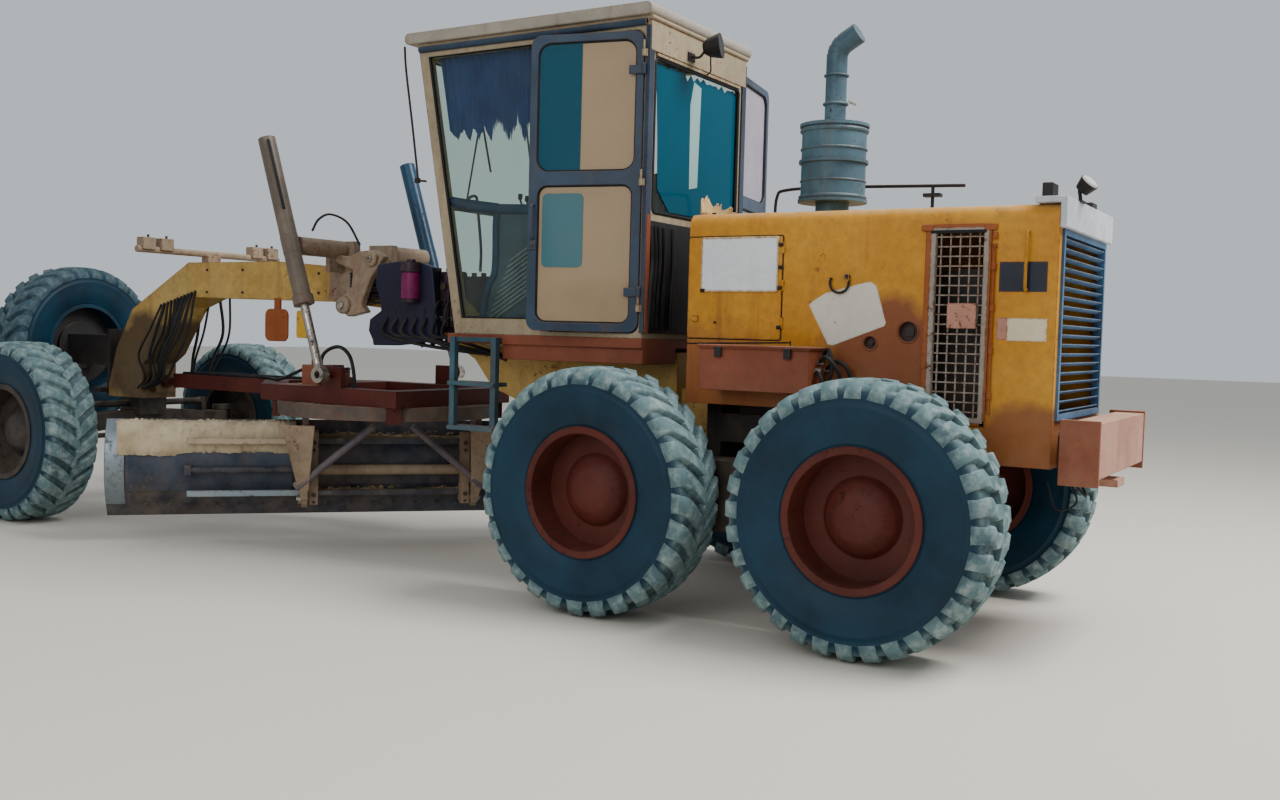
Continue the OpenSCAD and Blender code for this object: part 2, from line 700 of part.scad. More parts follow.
// Steering knuckle: two ears over and under the axle's end, the pin, the spindle and the arm
module knuckle() {
    ear = 45;
    ears = [axle_low - clear - ear, axle_high + clear];
    arm_z = ears[0];
    color(bare_steel) {
        for (z = ears) {
            at(wheelbase, kingpin_y, z) cylinder(r = 64, h = ear);
            block([wheelbase - 60, wheelbase + 60], [kingpin_y, kingpin_y + 71], [z, z + ear]);
        }
        at(wheelbase, kingpin_y, ears[0] + 10) cylinder(r = kingpin_r, h = ears[1] - ears[0] + ear - 20);
        block([wheelbase - 60, wheelbase + 60], [kingpin_y + 70, kingpin_y + 100], [ears[0], ears[1] + ear]);
        bar_y(wheelbase, axle_z, 60, [kingpin_y + 99, front_hub]);
        plan_plate([[wheelbase, kingpin_y - 40], [wheelbase, kingpin_y + 40],
            [wheelbase - arm_back, kingpin_y - arm_in + 30], [wheelbase - arm_back, kingpin_y - arm_in - 30]],
            [arm_z, arm_z + 30]);
        at(wheelbase - arm_back, kingpin_y - arm_in, arm_z) cylinder(r = 30, h = 30);
    }
}

module tie_rod() {
    y = kingpin_y - arm_in;
    color(bare_steel) {
        bar_y(wheelbase - arm_back, axle_low + 2, 20, [-y, y]);
        both_sides() at(wheelbase - arm_back, y, axle_low - 20 + running_gap) cylinder(r = 28, h = 45);
    }
}

module spare_carrier() {
    plate = [nose_x, nose_x + 40];
    color(dark_steel) {
        block(plate, [-150, 150], [910, 1450]);
        difference() {
            block([nose_x, nose_x + 100], [-lash_y - 45, lash_y + 45], lash_z);
            both_sides() at(lash_x, lash_y, lash_z[0] - 1) cylinder(r = lash_r, h = lash_z[1] - lash_z[0] + 2);
        }
        both_sides() block([plate[1] - 1, spare_x - 60], [90, 120], [1150, 1400]);
        at(spare_x - 61, 0, spare_z) rotate([0, 90, 0]) cylinder(r = 200, h = 31);
        at(spare_x - 31, 0, spare_z) rotate([0, 90, 0]) cylinder(r = bead_r - running_gap, h = 30);
    }
}

module spare_tyre() {
    at(spare_x, 0, spare_z) rotate([0, 0, -90]) tyre();
}

// A door, drawn shut on the left side: a frame with an upper and a lower pane, its handle and its hinges
module door() {
    edge_x = [door_hinge_x + 5, door_hinge_x + door_w];
    pane_x = [edge_x[0] + door_frame, edge_x[1] - door_frame];
    panes = [[door_z[0] + door_frame, door_mid], [door_mid + door_frame, door_z[1] - door_frame]];
    color("#2e3844") {
        difference() {
            side_plate(rounded_rect(edge_x, door_z, door_round), [cab_half - door_t, cab_half]);
            for (z = panes) side_plate(rounded_rect(pane_x, z, 70), [cab_half - door_t - 1, cab_half + 1]);
        }
        block([pane_x[1] + 15, pane_x[1] + 30], [cab_half - 1, cab_half + 22], [2040, 2060]);
        block([pane_x[1] + 15, pane_x[1] + 30], [cab_half - 1, cab_half + 22], [2240, 2260]);
        block([pane_x[1] + 15, pane_x[1] + 30], [cab_half + 21, cab_half + 33], [2040, 2260]);
    }
    color(glass_green) for (z = panes)
        side_plate(rounded_rect(pane_x, z, 70), [cab_half - pane_in + 2, cab_half - pane_in + 2 + pane_t]);
    color("#2e3844") for (z = hinge_z) difference() {
        union() {
            at(door_hinge_x, cab_half + hinge_out, z + 40 + running_gap) cylinder(r = hinge_r, h = hinge_h - running_gap);
            block([door_hinge_x, door_hinge_x + 70], [cab_half - 1, cab_half + hinge_out - 2],
                [z + 40 + running_gap, z + 40 + hinge_h]);
        }
        at(door_hinge_x, cab_half + hinge_out, z) cylinder(r = hinge_pin_r + pin_gap, h = 60 + hinge_h);
    }
}

// Swings a door about its hinge, which stands proud of the cab's outer face
module swung(angle) {
    at(door_hinge_x, cab_half + hinge_out, 0) rotate([0, 0, angle])
        translate([origin_x - door_hinge_x, -cab_half - hinge_out, 0]) children();
}

module door_left() {
    swung(left_door_open) door();
}

module door_right() {
    mirror([0, 1, 0]) swung(right_door_open) door();
}

// Drawbar: the ball and its neck, the tongue, the two side beams, the circle's drive and its four shoes
module drawbar() {
    rear = circle_x - 610;
    front = circle_x + 650;
    outer = mirrored([[ball_x - 170, 75], [front + 500, 110], [front, drawbar_y[1]], [rear, drawbar_y[1]]]);
    inner = mirrored([[front + 300, 60], [front - 130, drawbar_y[0]], [rear + 150, drawbar_y[0]]]);
    color(rust_red) {
        difference() {
            plan_plate(outer, drawbar_z);
            plan_plate(inner, [drawbar_z[0] - 1, drawbar_z[1] + 1]);
        }
        at(ball_x, 0, ball_z) sphere(r = ball_r);
        at(ball_x - 220, 0, ball_z) rotate([0, 90, 0]) cylinder(r = 30, h = 200);
        both_sides() {
            block([eye_x - 90, eye_x + 90], [drawbar_y[1] - 40, drawbar_y[1]], [drawbar_z[1] - 1, eye_z + 50]);
            bar_y(eye_x, eye_z, 25, [drawbar_y[1] - 1, lift_half - 30 - running_gap]);
        }
        // the circle's drive on its cross member, with the pinion inside the ring
        block([circle_x + pinion_x - 75, circle_x + pinion_x + 75], [-drawbar_y[0] - 1, drawbar_y[0] + 1], drawbar_z);
        at(circle_x + pinion_x, 0, drawbar_z[1] - 1) {
            cylinder(r = 130, h = 41);
            cylinder(r = 105, h = 90);
            cylinder(r = 62, h = 130);
        }
        at(circle_x + pinion_x, 0, ring_z + 2 * clear) cylinder(r = pinion_r, h = circle_h);
    }
    color(rust_red) at(circle_x, 0, 0) for (a = [45:90:315]) rotate([0, 0, a]) circle_shoe();
}

// A shoe that hooks under the ring's outer edge
module circle_shoe() {
    out = circle_r + 35;
    under = ring_z - running_gap;
    translate([circle_r + clear, -50, under - shoe_lip]) cube([30, 100, circle_z + 1 - under + shoe_lip]);
    translate([circle_r - shoe_lip, -50, under - shoe_lip]) cube([out - circle_r + shoe_lip, 100, shoe_lip]);
}

// Turns the circle and the blade about the circle's centre
module turned() {
    at(circle_x, 0, 0) rotate([0, 0, -blade_angle]) children();
}

// The circle's ring, with its teeth inside, and the two arms that hang from it
module circle_ring() {
    difference() {
        cylinder(r = circle_r, h = circle_h, $fn = 96);
        translate([0, 0, -1]) linear_extrude(circle_h + 2)
            polygon(toothed(circle_teeth, circle_r - circle_w, tooth_tip_r, 0.30, 0.17));
    }
}

module circle() {
    color(tan_paint) turned() {
        translate([0, 0, ring_z]) circle_ring();
        both_sides() difference() {
            union() {
                translate([0, arm_y[1], 0]) rotate([90, 0, 0]) linear_extrude(arm_y[1] - arm_y[0])
                    polygon([[-430, ring_z + 1], [-250, 300], [-190, 300], [-190, 840], [-40, ring_z + 1]]);
                translate([tip_x, arm_y[0], tip_z]) rotate([-90, 0, 0]) cylinder(r = 60, h = arm_y[1] - arm_y[0]);
            }
            translate([tip_x, arm_y[0] - 1, tip_z]) rotate([-90, 0, 0]) cylinder(r = 25 + pin_gap, h = 42);
        }
    }
}

module slide_brackets() {
    color(tan_paint) turned() difference() {
        union() {
            both_sides() {
                translate([-210, slide_y[0], 290]) cube([100 - clear, slide_y[1] - slide_y[0], 500]);
                for (z = rail_zs) difference() {
                    translate([-116, slide_y[0], z - 40]) cube([36, slide_y[1] - slide_y[0], 120]);
                    translate([rail_x[0] - running_gap, slide_y[0] - 1, z - running_gap])
                        cube([60, 62, 40 + 2 * running_gap]);
                }
                translate([tip_x, slide_y[1] - 1, tip_z]) rotate([-90, 0, 0])
                    cylinder(r = 25, h = 1 + arm_y[1] - slide_y[1]);
            }
            // barrel of the side-shift cylinder, which both brackets carry
            shift_bar(shift_r, shift_barrel);
        }
        shift_bar(shift_rod_r + running_gap, [shift_barrel[0] + 10, shift_barrel[1] + 1]);
    }
}

// A round bar on the side-shift cylinder's own line, in the turned frame
module shift_bar(r, y) {
    translate([shift_x, y[0], shift_z]) rotate([-90, 0, 0]) cylinder(r = r, h = y[1] - y[0]);
}

// A point of the moldboard's section, at an angle up from straight behind its centre
function blade_point(r, a) = [blade_cx - r * cos(a), blade_cz + r * sin(a)];

// The foot of the section, where a straight cutting edge follows the curve
function edge_point(r) = blade_point(r, -edge_rake) + edge_len * [sin(edge_rake), -cos(edge_rake)];

module moldboard() {
    steps = 17;
    sweep = (edge_rake + blade_top_angle) / steps;
    front = [for (i = [0:steps]) blade_point(blade_r, -edge_rake + i * sweep)];
    back = [for (i = [steps:-1:0]) blade_point(blade_r + blade_t, -edge_rake + i * sweep)];
    color("#7c6a52") turned() translate([0, side_shift, 0]) {
        translate([0, blade_len / 2, 0]) rotate([90, 0, 0]) linear_extrude(blade_len)
            polygon(concat([edge_point(blade_r)], front, back, [edge_point(blade_r + blade_t)]));
        for (z = rail_zs) {
            translate([rail_x[0], -rail_reach, z]) cube([rail_x[1] - rail_x[0], 2 * rail_reach, rail_t]);
            translate([rail_x[1] - 1, -rail_reach, z + 10]) cube([88, 2 * rail_reach, rail_t - 20]);
        }
    }
    // rod of the side-shift cylinder and the lug that it pushes
    color(bare_steel) turned() {
        shift_bar(shift_rod_r, [shift_rod_end, shift_lug_y]);
        lug = shift_rod_r + 2;
        translate([shift_x - lug, shift_lug_y - lug, shift_z - 30]) cube([blade_back + 10 - shift_x + lug, 2 * lug, 60]);
    }
}

// Places a lift cylinder's own frame at the yoke, with its axis down the rod
module lift_axis(side) {
    at(yoke_x, side * lift_half, yoke_z) rotate([0, lift_lean, 0]) children();
}

module lift_barrel(side) {
    color(tan_paint) lift_axis(side) {
        difference() {
            union() {
                translate([0, 0, -barrel_low]) cylinder(r = barrel_r, h = barrel_low + barrel_high);
                translate([0, 0, -barrel_low]) cylinder(r = barrel_r + 12, h = 60);
                translate([0, 0, -60]) cylinder(r = barrel_r + 2, h = 120);
                rotate([side * 90, 0, 0]) cylinder(r = 30, h = 150);
            }
            translate([0, 0, -barrel_low - 1]) cylinder(r = rod_r + running_gap, h = barrel_low + barrel_high - 19);
        }
    }
}

module lift_rod(side) {
    color(bare_steel) lift_axis(side) {
        difference() {
            union() {
                translate([0, 0, -lift_len]) cylinder(r = rod_r, h = lift_len + rod_top);
                translate([0, 30, -lift_len]) rotate([90, 0, 0]) cylinder(r = 55, h = 60);
            }
            translate([0, 31, -lift_len]) rotate([90, 0, 0]) cylinder(r = 25 + running_gap, h = 62);
        }
    }
}

rear_frame();
tandem_cases();
engine_block();
hood();
hood_cap();
side_grilles();
radiator_grille();
bumper();
silencer();
tool_boxes();
rear_lamps();
wheel_place(-half_tandem, 1, rear_track) tyre();  // tyre_rear_left
wheel_place(-half_tandem, 1, rear_track) rim();  // rim_rear_left
wheel_place(-half_tandem, -1, rear_track) tyre();  // tyre_rear_right
wheel_place(-half_tandem, -1, rear_track) rim();  // rim_rear_right
wheel_place(half_tandem, 1, rear_track) tyre();  // tyre_mid_left
wheel_place(half_tandem, 1, rear_track) rim();  // rim_mid_left
wheel_place(half_tandem, -1, rear_track) tyre();  // tyre_mid_right
wheel_place(half_tandem, -1, rear_track) rim();  // rim_mid_right
wheel_place(wheelbase, 1, front_track) tyre();  // tyre_front_left
wheel_place(wheelbase, 1, front_track) rim();  // rim_front_left
wheel_place(wheelbase, -1, front_track) tyre();  // tyre_front_right
wheel_place(wheelbase, -1, front_track) rim();  // rim_front_right
front_frame();
cab_floor();
cab_shell();
cab_roof();
cab_glass();
curtain();
seat();
console();
steps();
hydraulics();
lift_arms();
light_bar();
front_axle();
spare_carrier();
spare_tyre();
door_left();
door_right();
knuckle();  // knuckle_left
mirror([0, 1, 0]) knuckle();  // knuckle_right
tie_rod();
drawbar();
circle();
slide_brackets();
moldboard();
lift_barrel(1);  // lift_barrel_left
lift_rod(1);  // lift_rod_left
lift_barrel(-1);  // lift_barrel_right
lift_rod(-1);  // lift_rod_right
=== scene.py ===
"""Looks of an articulated motor grader: worn paint, tyres, glass, cloth and small fittings."""
import json
import math
import random

import bmesh
import bpy
from mathutils import Matrix, Vector, noise


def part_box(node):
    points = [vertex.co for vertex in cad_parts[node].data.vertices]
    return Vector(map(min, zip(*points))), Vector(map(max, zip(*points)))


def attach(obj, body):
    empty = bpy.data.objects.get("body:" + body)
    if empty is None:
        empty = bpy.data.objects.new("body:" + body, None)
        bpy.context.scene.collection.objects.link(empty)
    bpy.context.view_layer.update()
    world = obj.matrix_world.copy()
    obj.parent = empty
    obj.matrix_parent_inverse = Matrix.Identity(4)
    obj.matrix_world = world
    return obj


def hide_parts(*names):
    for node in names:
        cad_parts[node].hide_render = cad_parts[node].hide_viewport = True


bl_info = {
    "name": "Motor grader dress",
    "version": (1, 0, 0),
    "blender": (4, 5, 0),
    "location": "View3D > Sidebar > Grader",
    "description": "Dresses the packed motor grader with its worn finishes and small fittings",
    "category": "Object",
}

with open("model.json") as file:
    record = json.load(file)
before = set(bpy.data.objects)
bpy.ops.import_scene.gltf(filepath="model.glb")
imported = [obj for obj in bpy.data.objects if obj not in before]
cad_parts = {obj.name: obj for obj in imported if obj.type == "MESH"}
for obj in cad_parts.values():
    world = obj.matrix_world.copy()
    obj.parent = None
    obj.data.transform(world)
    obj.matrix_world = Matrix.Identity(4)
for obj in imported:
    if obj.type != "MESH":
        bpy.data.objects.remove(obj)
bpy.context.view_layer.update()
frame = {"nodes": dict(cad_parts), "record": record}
BODY_OF = {node: body for body, nodes in frame["record"]["behaviour"]["bodies"].items() for node in nodes}
SLOT_OF = {part["node"]: part["material_slot"] for part in frame["record"]["subparts"]}


def middle(node):
    """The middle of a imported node's box."""
    low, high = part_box(node)
    return (low + high) / 2


# Lengths along X are given from the middle of the tandem, as a maker would measure them
TANDEM_X = middle("tandem_cases").x
TYRE_LOW, TYRE_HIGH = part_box("tyre_rear_left")
TYRE_R = (TYRE_HIGH.z - TYRE_LOW.z) / 2
TYRE_HALF = (TYRE_HIGH.y - TYRE_LOW.y) / 2
RIM_R = (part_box("rim_rear_left")[1].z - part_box("rim_rear_left")[0].z) / 2


def at(x, y, z):
    """A point, with X from the middle of the tandem."""
    return Vector((x + TANDEM_X, y, z))


# Finishes

def linear(code):
    """An sRGB hex colour as the linear colour that the shaders take."""
    parts = [int(code[i:i + 2], 16) / 255 for i in (1, 3, 5)]
    return [p / 12.92 if p <= 0.04045 else ((p + 0.055) / 1.055) ** 2.4 for p in parts] + [1.0]


def add_node(tree, kind, inputs=(), **settings):
    """Adds a node with its settings, and fills its sockets with values or links."""
    node = tree.nodes.new(kind)
    for key, value in settings.items():
        setattr(node, key, value)
    for key, value in dict(inputs).items():
        if isinstance(value, bpy.types.NodeSocket):
            tree.links.new(value, node.inputs[key])
        else:
            node.inputs[key].default_value = value
    return node


def new_material(name):
    """An empty material, its nodes, and the place on the object in metres."""
    material = bpy.data.materials.new(name)
    material.use_nodes = True
    tree = material.node_tree
    tree.nodes.clear()
    return material, tree, add_node(tree, "ShaderNodeTexCoord").outputs["Object"]


def surfaced(material, shader):
    """The material, with that shader as its surface."""
    add_node(material.node_tree, "ShaderNodeOutputMaterial", {"Surface": shader.outputs[0]})
    return material


# Sun, dust and rubbing leave a surface less than half the shine of a new one, whose level is 0.5
WEATHERED = 0.2


def patches(tree, place, size, low, high, amount=1.0, detail=5.0, roughness=0.6):
    """A mask of cloudy patches of about that size in metres, times an amount or another mask."""
    cloud = add_node(tree, "ShaderNodeTexNoise", {
        "Vector": place, "Scale": 0.6 / size, "Detail": detail, "Roughness": roughness})
    mask = add_node(tree, "ShaderNodeMapRange", {"Value": cloud.outputs["Fac"], "From Min": low,
        "From Max": high})
    return add_node(tree, "ShaderNodeMath", {0: mask.outputs[0], 1: amount},
        operation="MULTIPLY").outputs[0]


def coated(tree, below, coats):
    """A colour under one or more coats, each a mask and a colour code."""
    for mask, code in coats:
        below = add_node(tree, "ShaderNodeMix", {0: mask, 6: below, 7: linear(code)},
            data_type="RGBA").outputs[2]
    return below


def worn_paint(name, fresh, faded, rust="#6b3a24", dust="#b7a184", gloss=0.42, rusting=0.5, dusting=0.5,
               streaking=0.4, griming=0.3, bald_and_painted_light=()):
    """Enamel on steel, faded: rust at chips and edges, run-off streaks, and dust on what faces up."""
    material, tree, place = new_material(name)
    true = add_node(tree, "ShaderNodeNewGeometry").outputs["Normal"]
    height = add_node(tree, "ShaderNodeSeparateXYZ", {0: place}).outputs["Z"]
    # Rust runs down from joints, 40 mm across and half a metre long
    drawn = add_node(tree, "ShaderNodeMapping", {"Vector": place, "Scale": (1.0, 1.0, 0.08)}).outputs[0]
    # Chips are about 15 mm across, gathered in patches and along every edge
    clusters = patches(tree, place, 0.2, 0.62 - 0.2 * rusting, 0.7 - 0.2 * rusting)
    chips = patches(tree, place, 0.018, 0.6 - 0.08 * rusting, 0.66 - 0.08 * rusting, clusters, 8.0, 0.72)
    eased = add_node(tree, "ShaderNodeBevel", {"Radius": 0.012}, samples=4).outputs[0]
    same = add_node(tree, "ShaderNodeVectorMath", {0: eased, 1: true},
        operation="DOT_PRODUCT").outputs["Value"]
    corner = add_node(tree, "ShaderNodeMapRange", {"Value": same, "From Min": 0.99,
        "From Max": 0.85}).outputs[0]
    edge = patches(tree, place, 0.018, 0.42, 0.55, corner, 8.0, 0.72)
    bare = add_node(tree, "ShaderNodeMath", {0: chips, 1: edge}, operation="MAXIMUM").outputs[0]
    # Dust lies on what faces up, and is thrown over the lowest metre and a half
    up = add_node(tree, "ShaderNodeSeparateXYZ", {0: true}).outputs["Z"]
    lying = add_node(tree, "ShaderNodeMapRange", {"Value": up, "From Min": 0.35,
        "From Max": 0.95}).outputs[0]
    thrown = add_node(tree, "ShaderNodeMapRange", {
        "Value": height, "From Min": 1.5, "From Max": 0.2, "To Max": 0.6}).outputs[0]
    where = add_node(tree, "ShaderNodeMath", {0: lying, 1: thrown}, operation="MAXIMUM").outputs[0]
    dusty = patches(tree, place, 0.09, 0.3, 0.65, add_node(
        tree, "ShaderNodeMath", {0: where, 1: dusting}, operation="MULTIPLY").outputs[0], 7.0, 0.65)
    coats = [(patches(tree, place, 0.35, 0.35, 0.65), faded),
             (patches(tree, place, 0.028, 0.3, 0.75, griming, 6.0, 0.7), "#3a2a1e")]
    for middle_of, reach, turn, code in bald_and_painted_light:
        # Paint has gone from a round area, or lies under soil, or the area is painted shade or a painted
        # highlight, with a ragged edge 0.1 m wide
        held = add_node(tree, "ShaderNodeMapping", {
            "Vector": place, "Location": middle_of, "Rotation": (0.0, 0.0, math.radians(turn)),
            "Scale": reach},
            vector_type="TEXTURE").outputs[0]
        ball = add_node(tree, "ShaderNodeTexGradient", {"Vector": held},
            gradient_type="SPHERICAL").outputs["Fac"]
        torn = add_node(tree, "ShaderNodeTexNoise", {"Vector": place, "Scale": 5.0,
            "Detail": 7.0}).outputs["Fac"]
        bald_and_lit_mask = add_node(tree, "ShaderNodeMath", {0: torn, 1: 0.6, 2: ball},
            operation="MULTIPLY_ADD").outputs[0]
        coats.append((add_node(tree, "ShaderNodeMapRange", {
            "Value": bald_and_lit_mask, "From Min": 0.42, "From Max": 0.62, "To Max": 0.85}).outputs[0], code))
    coats += [(patches(tree, drawn, 0.05, 0.55, 0.75, streaking), rust), (bare, rust), (dusty, dust)]
    colour = coated(tree, linear(fresh), coats)
    dull = add_node(tree, "ShaderNodeMath", {0: bare, 1: dusty}, operation="MAXIMUM").outputs[0]
    rough = add_node(tree, "ShaderNodeMapRange", {"Value": dull, "To Min": gloss, "To Max": 0.9}).outputs[0]
    # Paint stands a fifth of a millimetre over the rust, and pressed sheet is never quite flat
    wavy = add_node(tree, "ShaderNodeTexNoise", {"Vector": place, "Scale": 5.0,
        "Detail": 2.0}).outputs["Fac"]
    relief = add_node(tree, "ShaderNodeMath", {0: bare, 1: -0.25, 2: wavy},
        operation="MULTIPLY_ADD").outputs[0]
    bump = add_node(tree, "ShaderNodeBump", {"Strength": 0.5, "Distance": 0.006,
        "Height": relief}).outputs[0]
    return surfaced(material, add_node(tree, "ShaderNodeBsdfPrincipled", {
        "Base Color": colour, "Roughness": rough, "IOR": 1.5, "Specular IOR Level": WEATHERED,
        "Normal": bump}))


def rubber_with_painted_sky():
    """Natural rubber, moulded: sidewalls that shine a little, blue-black with a painted sky reflection, and
    tread matt with pale dust.
    """
    material, tree, place = new_material("natural rubber, moulded and dusty")
    tread = add_node(tree, "ShaderNodeAttribute", attribute_name="tread").outputs["Fac"]
    # Grit in the tread is drawn at 8 mm, coarser than it is, so that it shows
    grit = patches(tree, place, 0.008, 0.3, 0.7, 1.0, 6.0, 0.7)
    cover = patches(tree, place, 0.15, 0.15, 0.5, tread, 6.0)
    mud = patches(tree, place, 0.03, 0.45, 0.75, tread, 6.0)
    # The blue in the rubber and the blue-grey of the dust on the tread are a painted reflection of the sky
    colour = coated(tree, linear("#05202e"), [
        (patches(tree, place, 0.2, 0.3, 0.7), "#0c3245"), (cover, "#5d7577"), (mud, "#8f9d99")])
    bump = add_node(tree, "ShaderNodeBump", {"Strength": 0.35, "Distance": 0.002,
        "Height": grit}).outputs[0]
    rough = add_node(tree, "ShaderNodeMapRange", {"Value": cover, "To Min": 0.48,
        "To Max": 0.92}).outputs[0]
    return surfaced(material, add_node(tree, "ShaderNodeBsdfPrincipled", {
        "Base Color": colour, "Roughness": rough, "IOR": 1.52, "Specular IOR Level": WEATHERED,
        "Normal": bump}))


def metal(name, clean, stained, rough, staining):
    """Bare ground steel, with dark stains of grease or soil in patches of 30 mm."""
    material, tree, place = new_material(name)
    stain = patches(tree, place, 0.03, 0.6 - 0.3 * staining, 0.75 - 0.2 * staining, 1.0, 6.0, 0.65)
    bump = add_node(tree, "ShaderNodeBump", {"Strength": 0.2, "Distance": 0.001,
        "Height": stain}).outputs[0]
    return surfaced(material, add_node(tree, "ShaderNodeBsdfPrincipled", {
        "Base Color": coated(tree, linear(clean), [(stain, stained)]),
        "Metallic": add_node(tree, "ShaderNodeMapRange", {"Value": stain, "To Min": 0.9,
            "To Max": 0.1}).outputs[0],
        "Roughness": add_node(tree, "ShaderNodeMapRange", {"Value": stain, "To Min": rough,
            "To Max": 0.85}).outputs[0],
        "Normal": bump}))


def glass(name, tint, clearness, dusting, shine_level=0.5):
    """Float glass, tinted through: a film of dust makes it pale and hides part of what is behind."""
    material, tree, place = new_material(name)
    film = add_node(tree, "ShaderNodeMapRange", {
        "Value": patches(tree, place, 0.12, 0.3, 0.7), "To Min": 0.4 * dusting,
        "To Max": dusting}).outputs[0]
    clear = add_node(tree, "ShaderNodeBsdfTransparent", {"Color": linear(tint)})
    shine = add_node(tree, "ShaderNodeBsdfPrincipled", {
        "Base Color": linear(tint), "Roughness": 0.08, "IOR": 1.5, "Specular IOR Level": shine_level})
    pane = add_node(tree, "ShaderNodeMixShader", {0: clearness, 1: shine.outputs[0], 2: clear.outputs[0]})
    dust = add_node(tree, "ShaderNodeBsdfPrincipled", {
        "Base Color": linear(tint), "Roughness": 0.7, "Specular IOR Level": shine_level})
    whole = add_node(tree, "ShaderNodeMixShader", {0: film, 1: pane.outputs[0], 2: dust.outputs[0]})
    return surfaced(material, whole)


def moulded(name, low, high, rough, grain=0.006):
    """Moulded plastic, vinyl, rubber hose or cloth: two tones, with a fine grain."""
    material, tree, place = new_material(name)
    bump = add_node(tree, "ShaderNodeBump", {
        "Strength": 0.4, "Distance": 0.001, "Height": patches(tree, place, grain, 0.3, 0.7)}).outputs[0]
    return surfaced(material, add_node(tree, "ShaderNodeBsdfPrincipled", {
        "Base Color": coated(tree, linear(low), [(patches(tree, place, 0.1, 0.35, 0.65), high)]),
        "Roughness": rough, "Specular IOR Level": WEATHERED, "Normal": bump}))


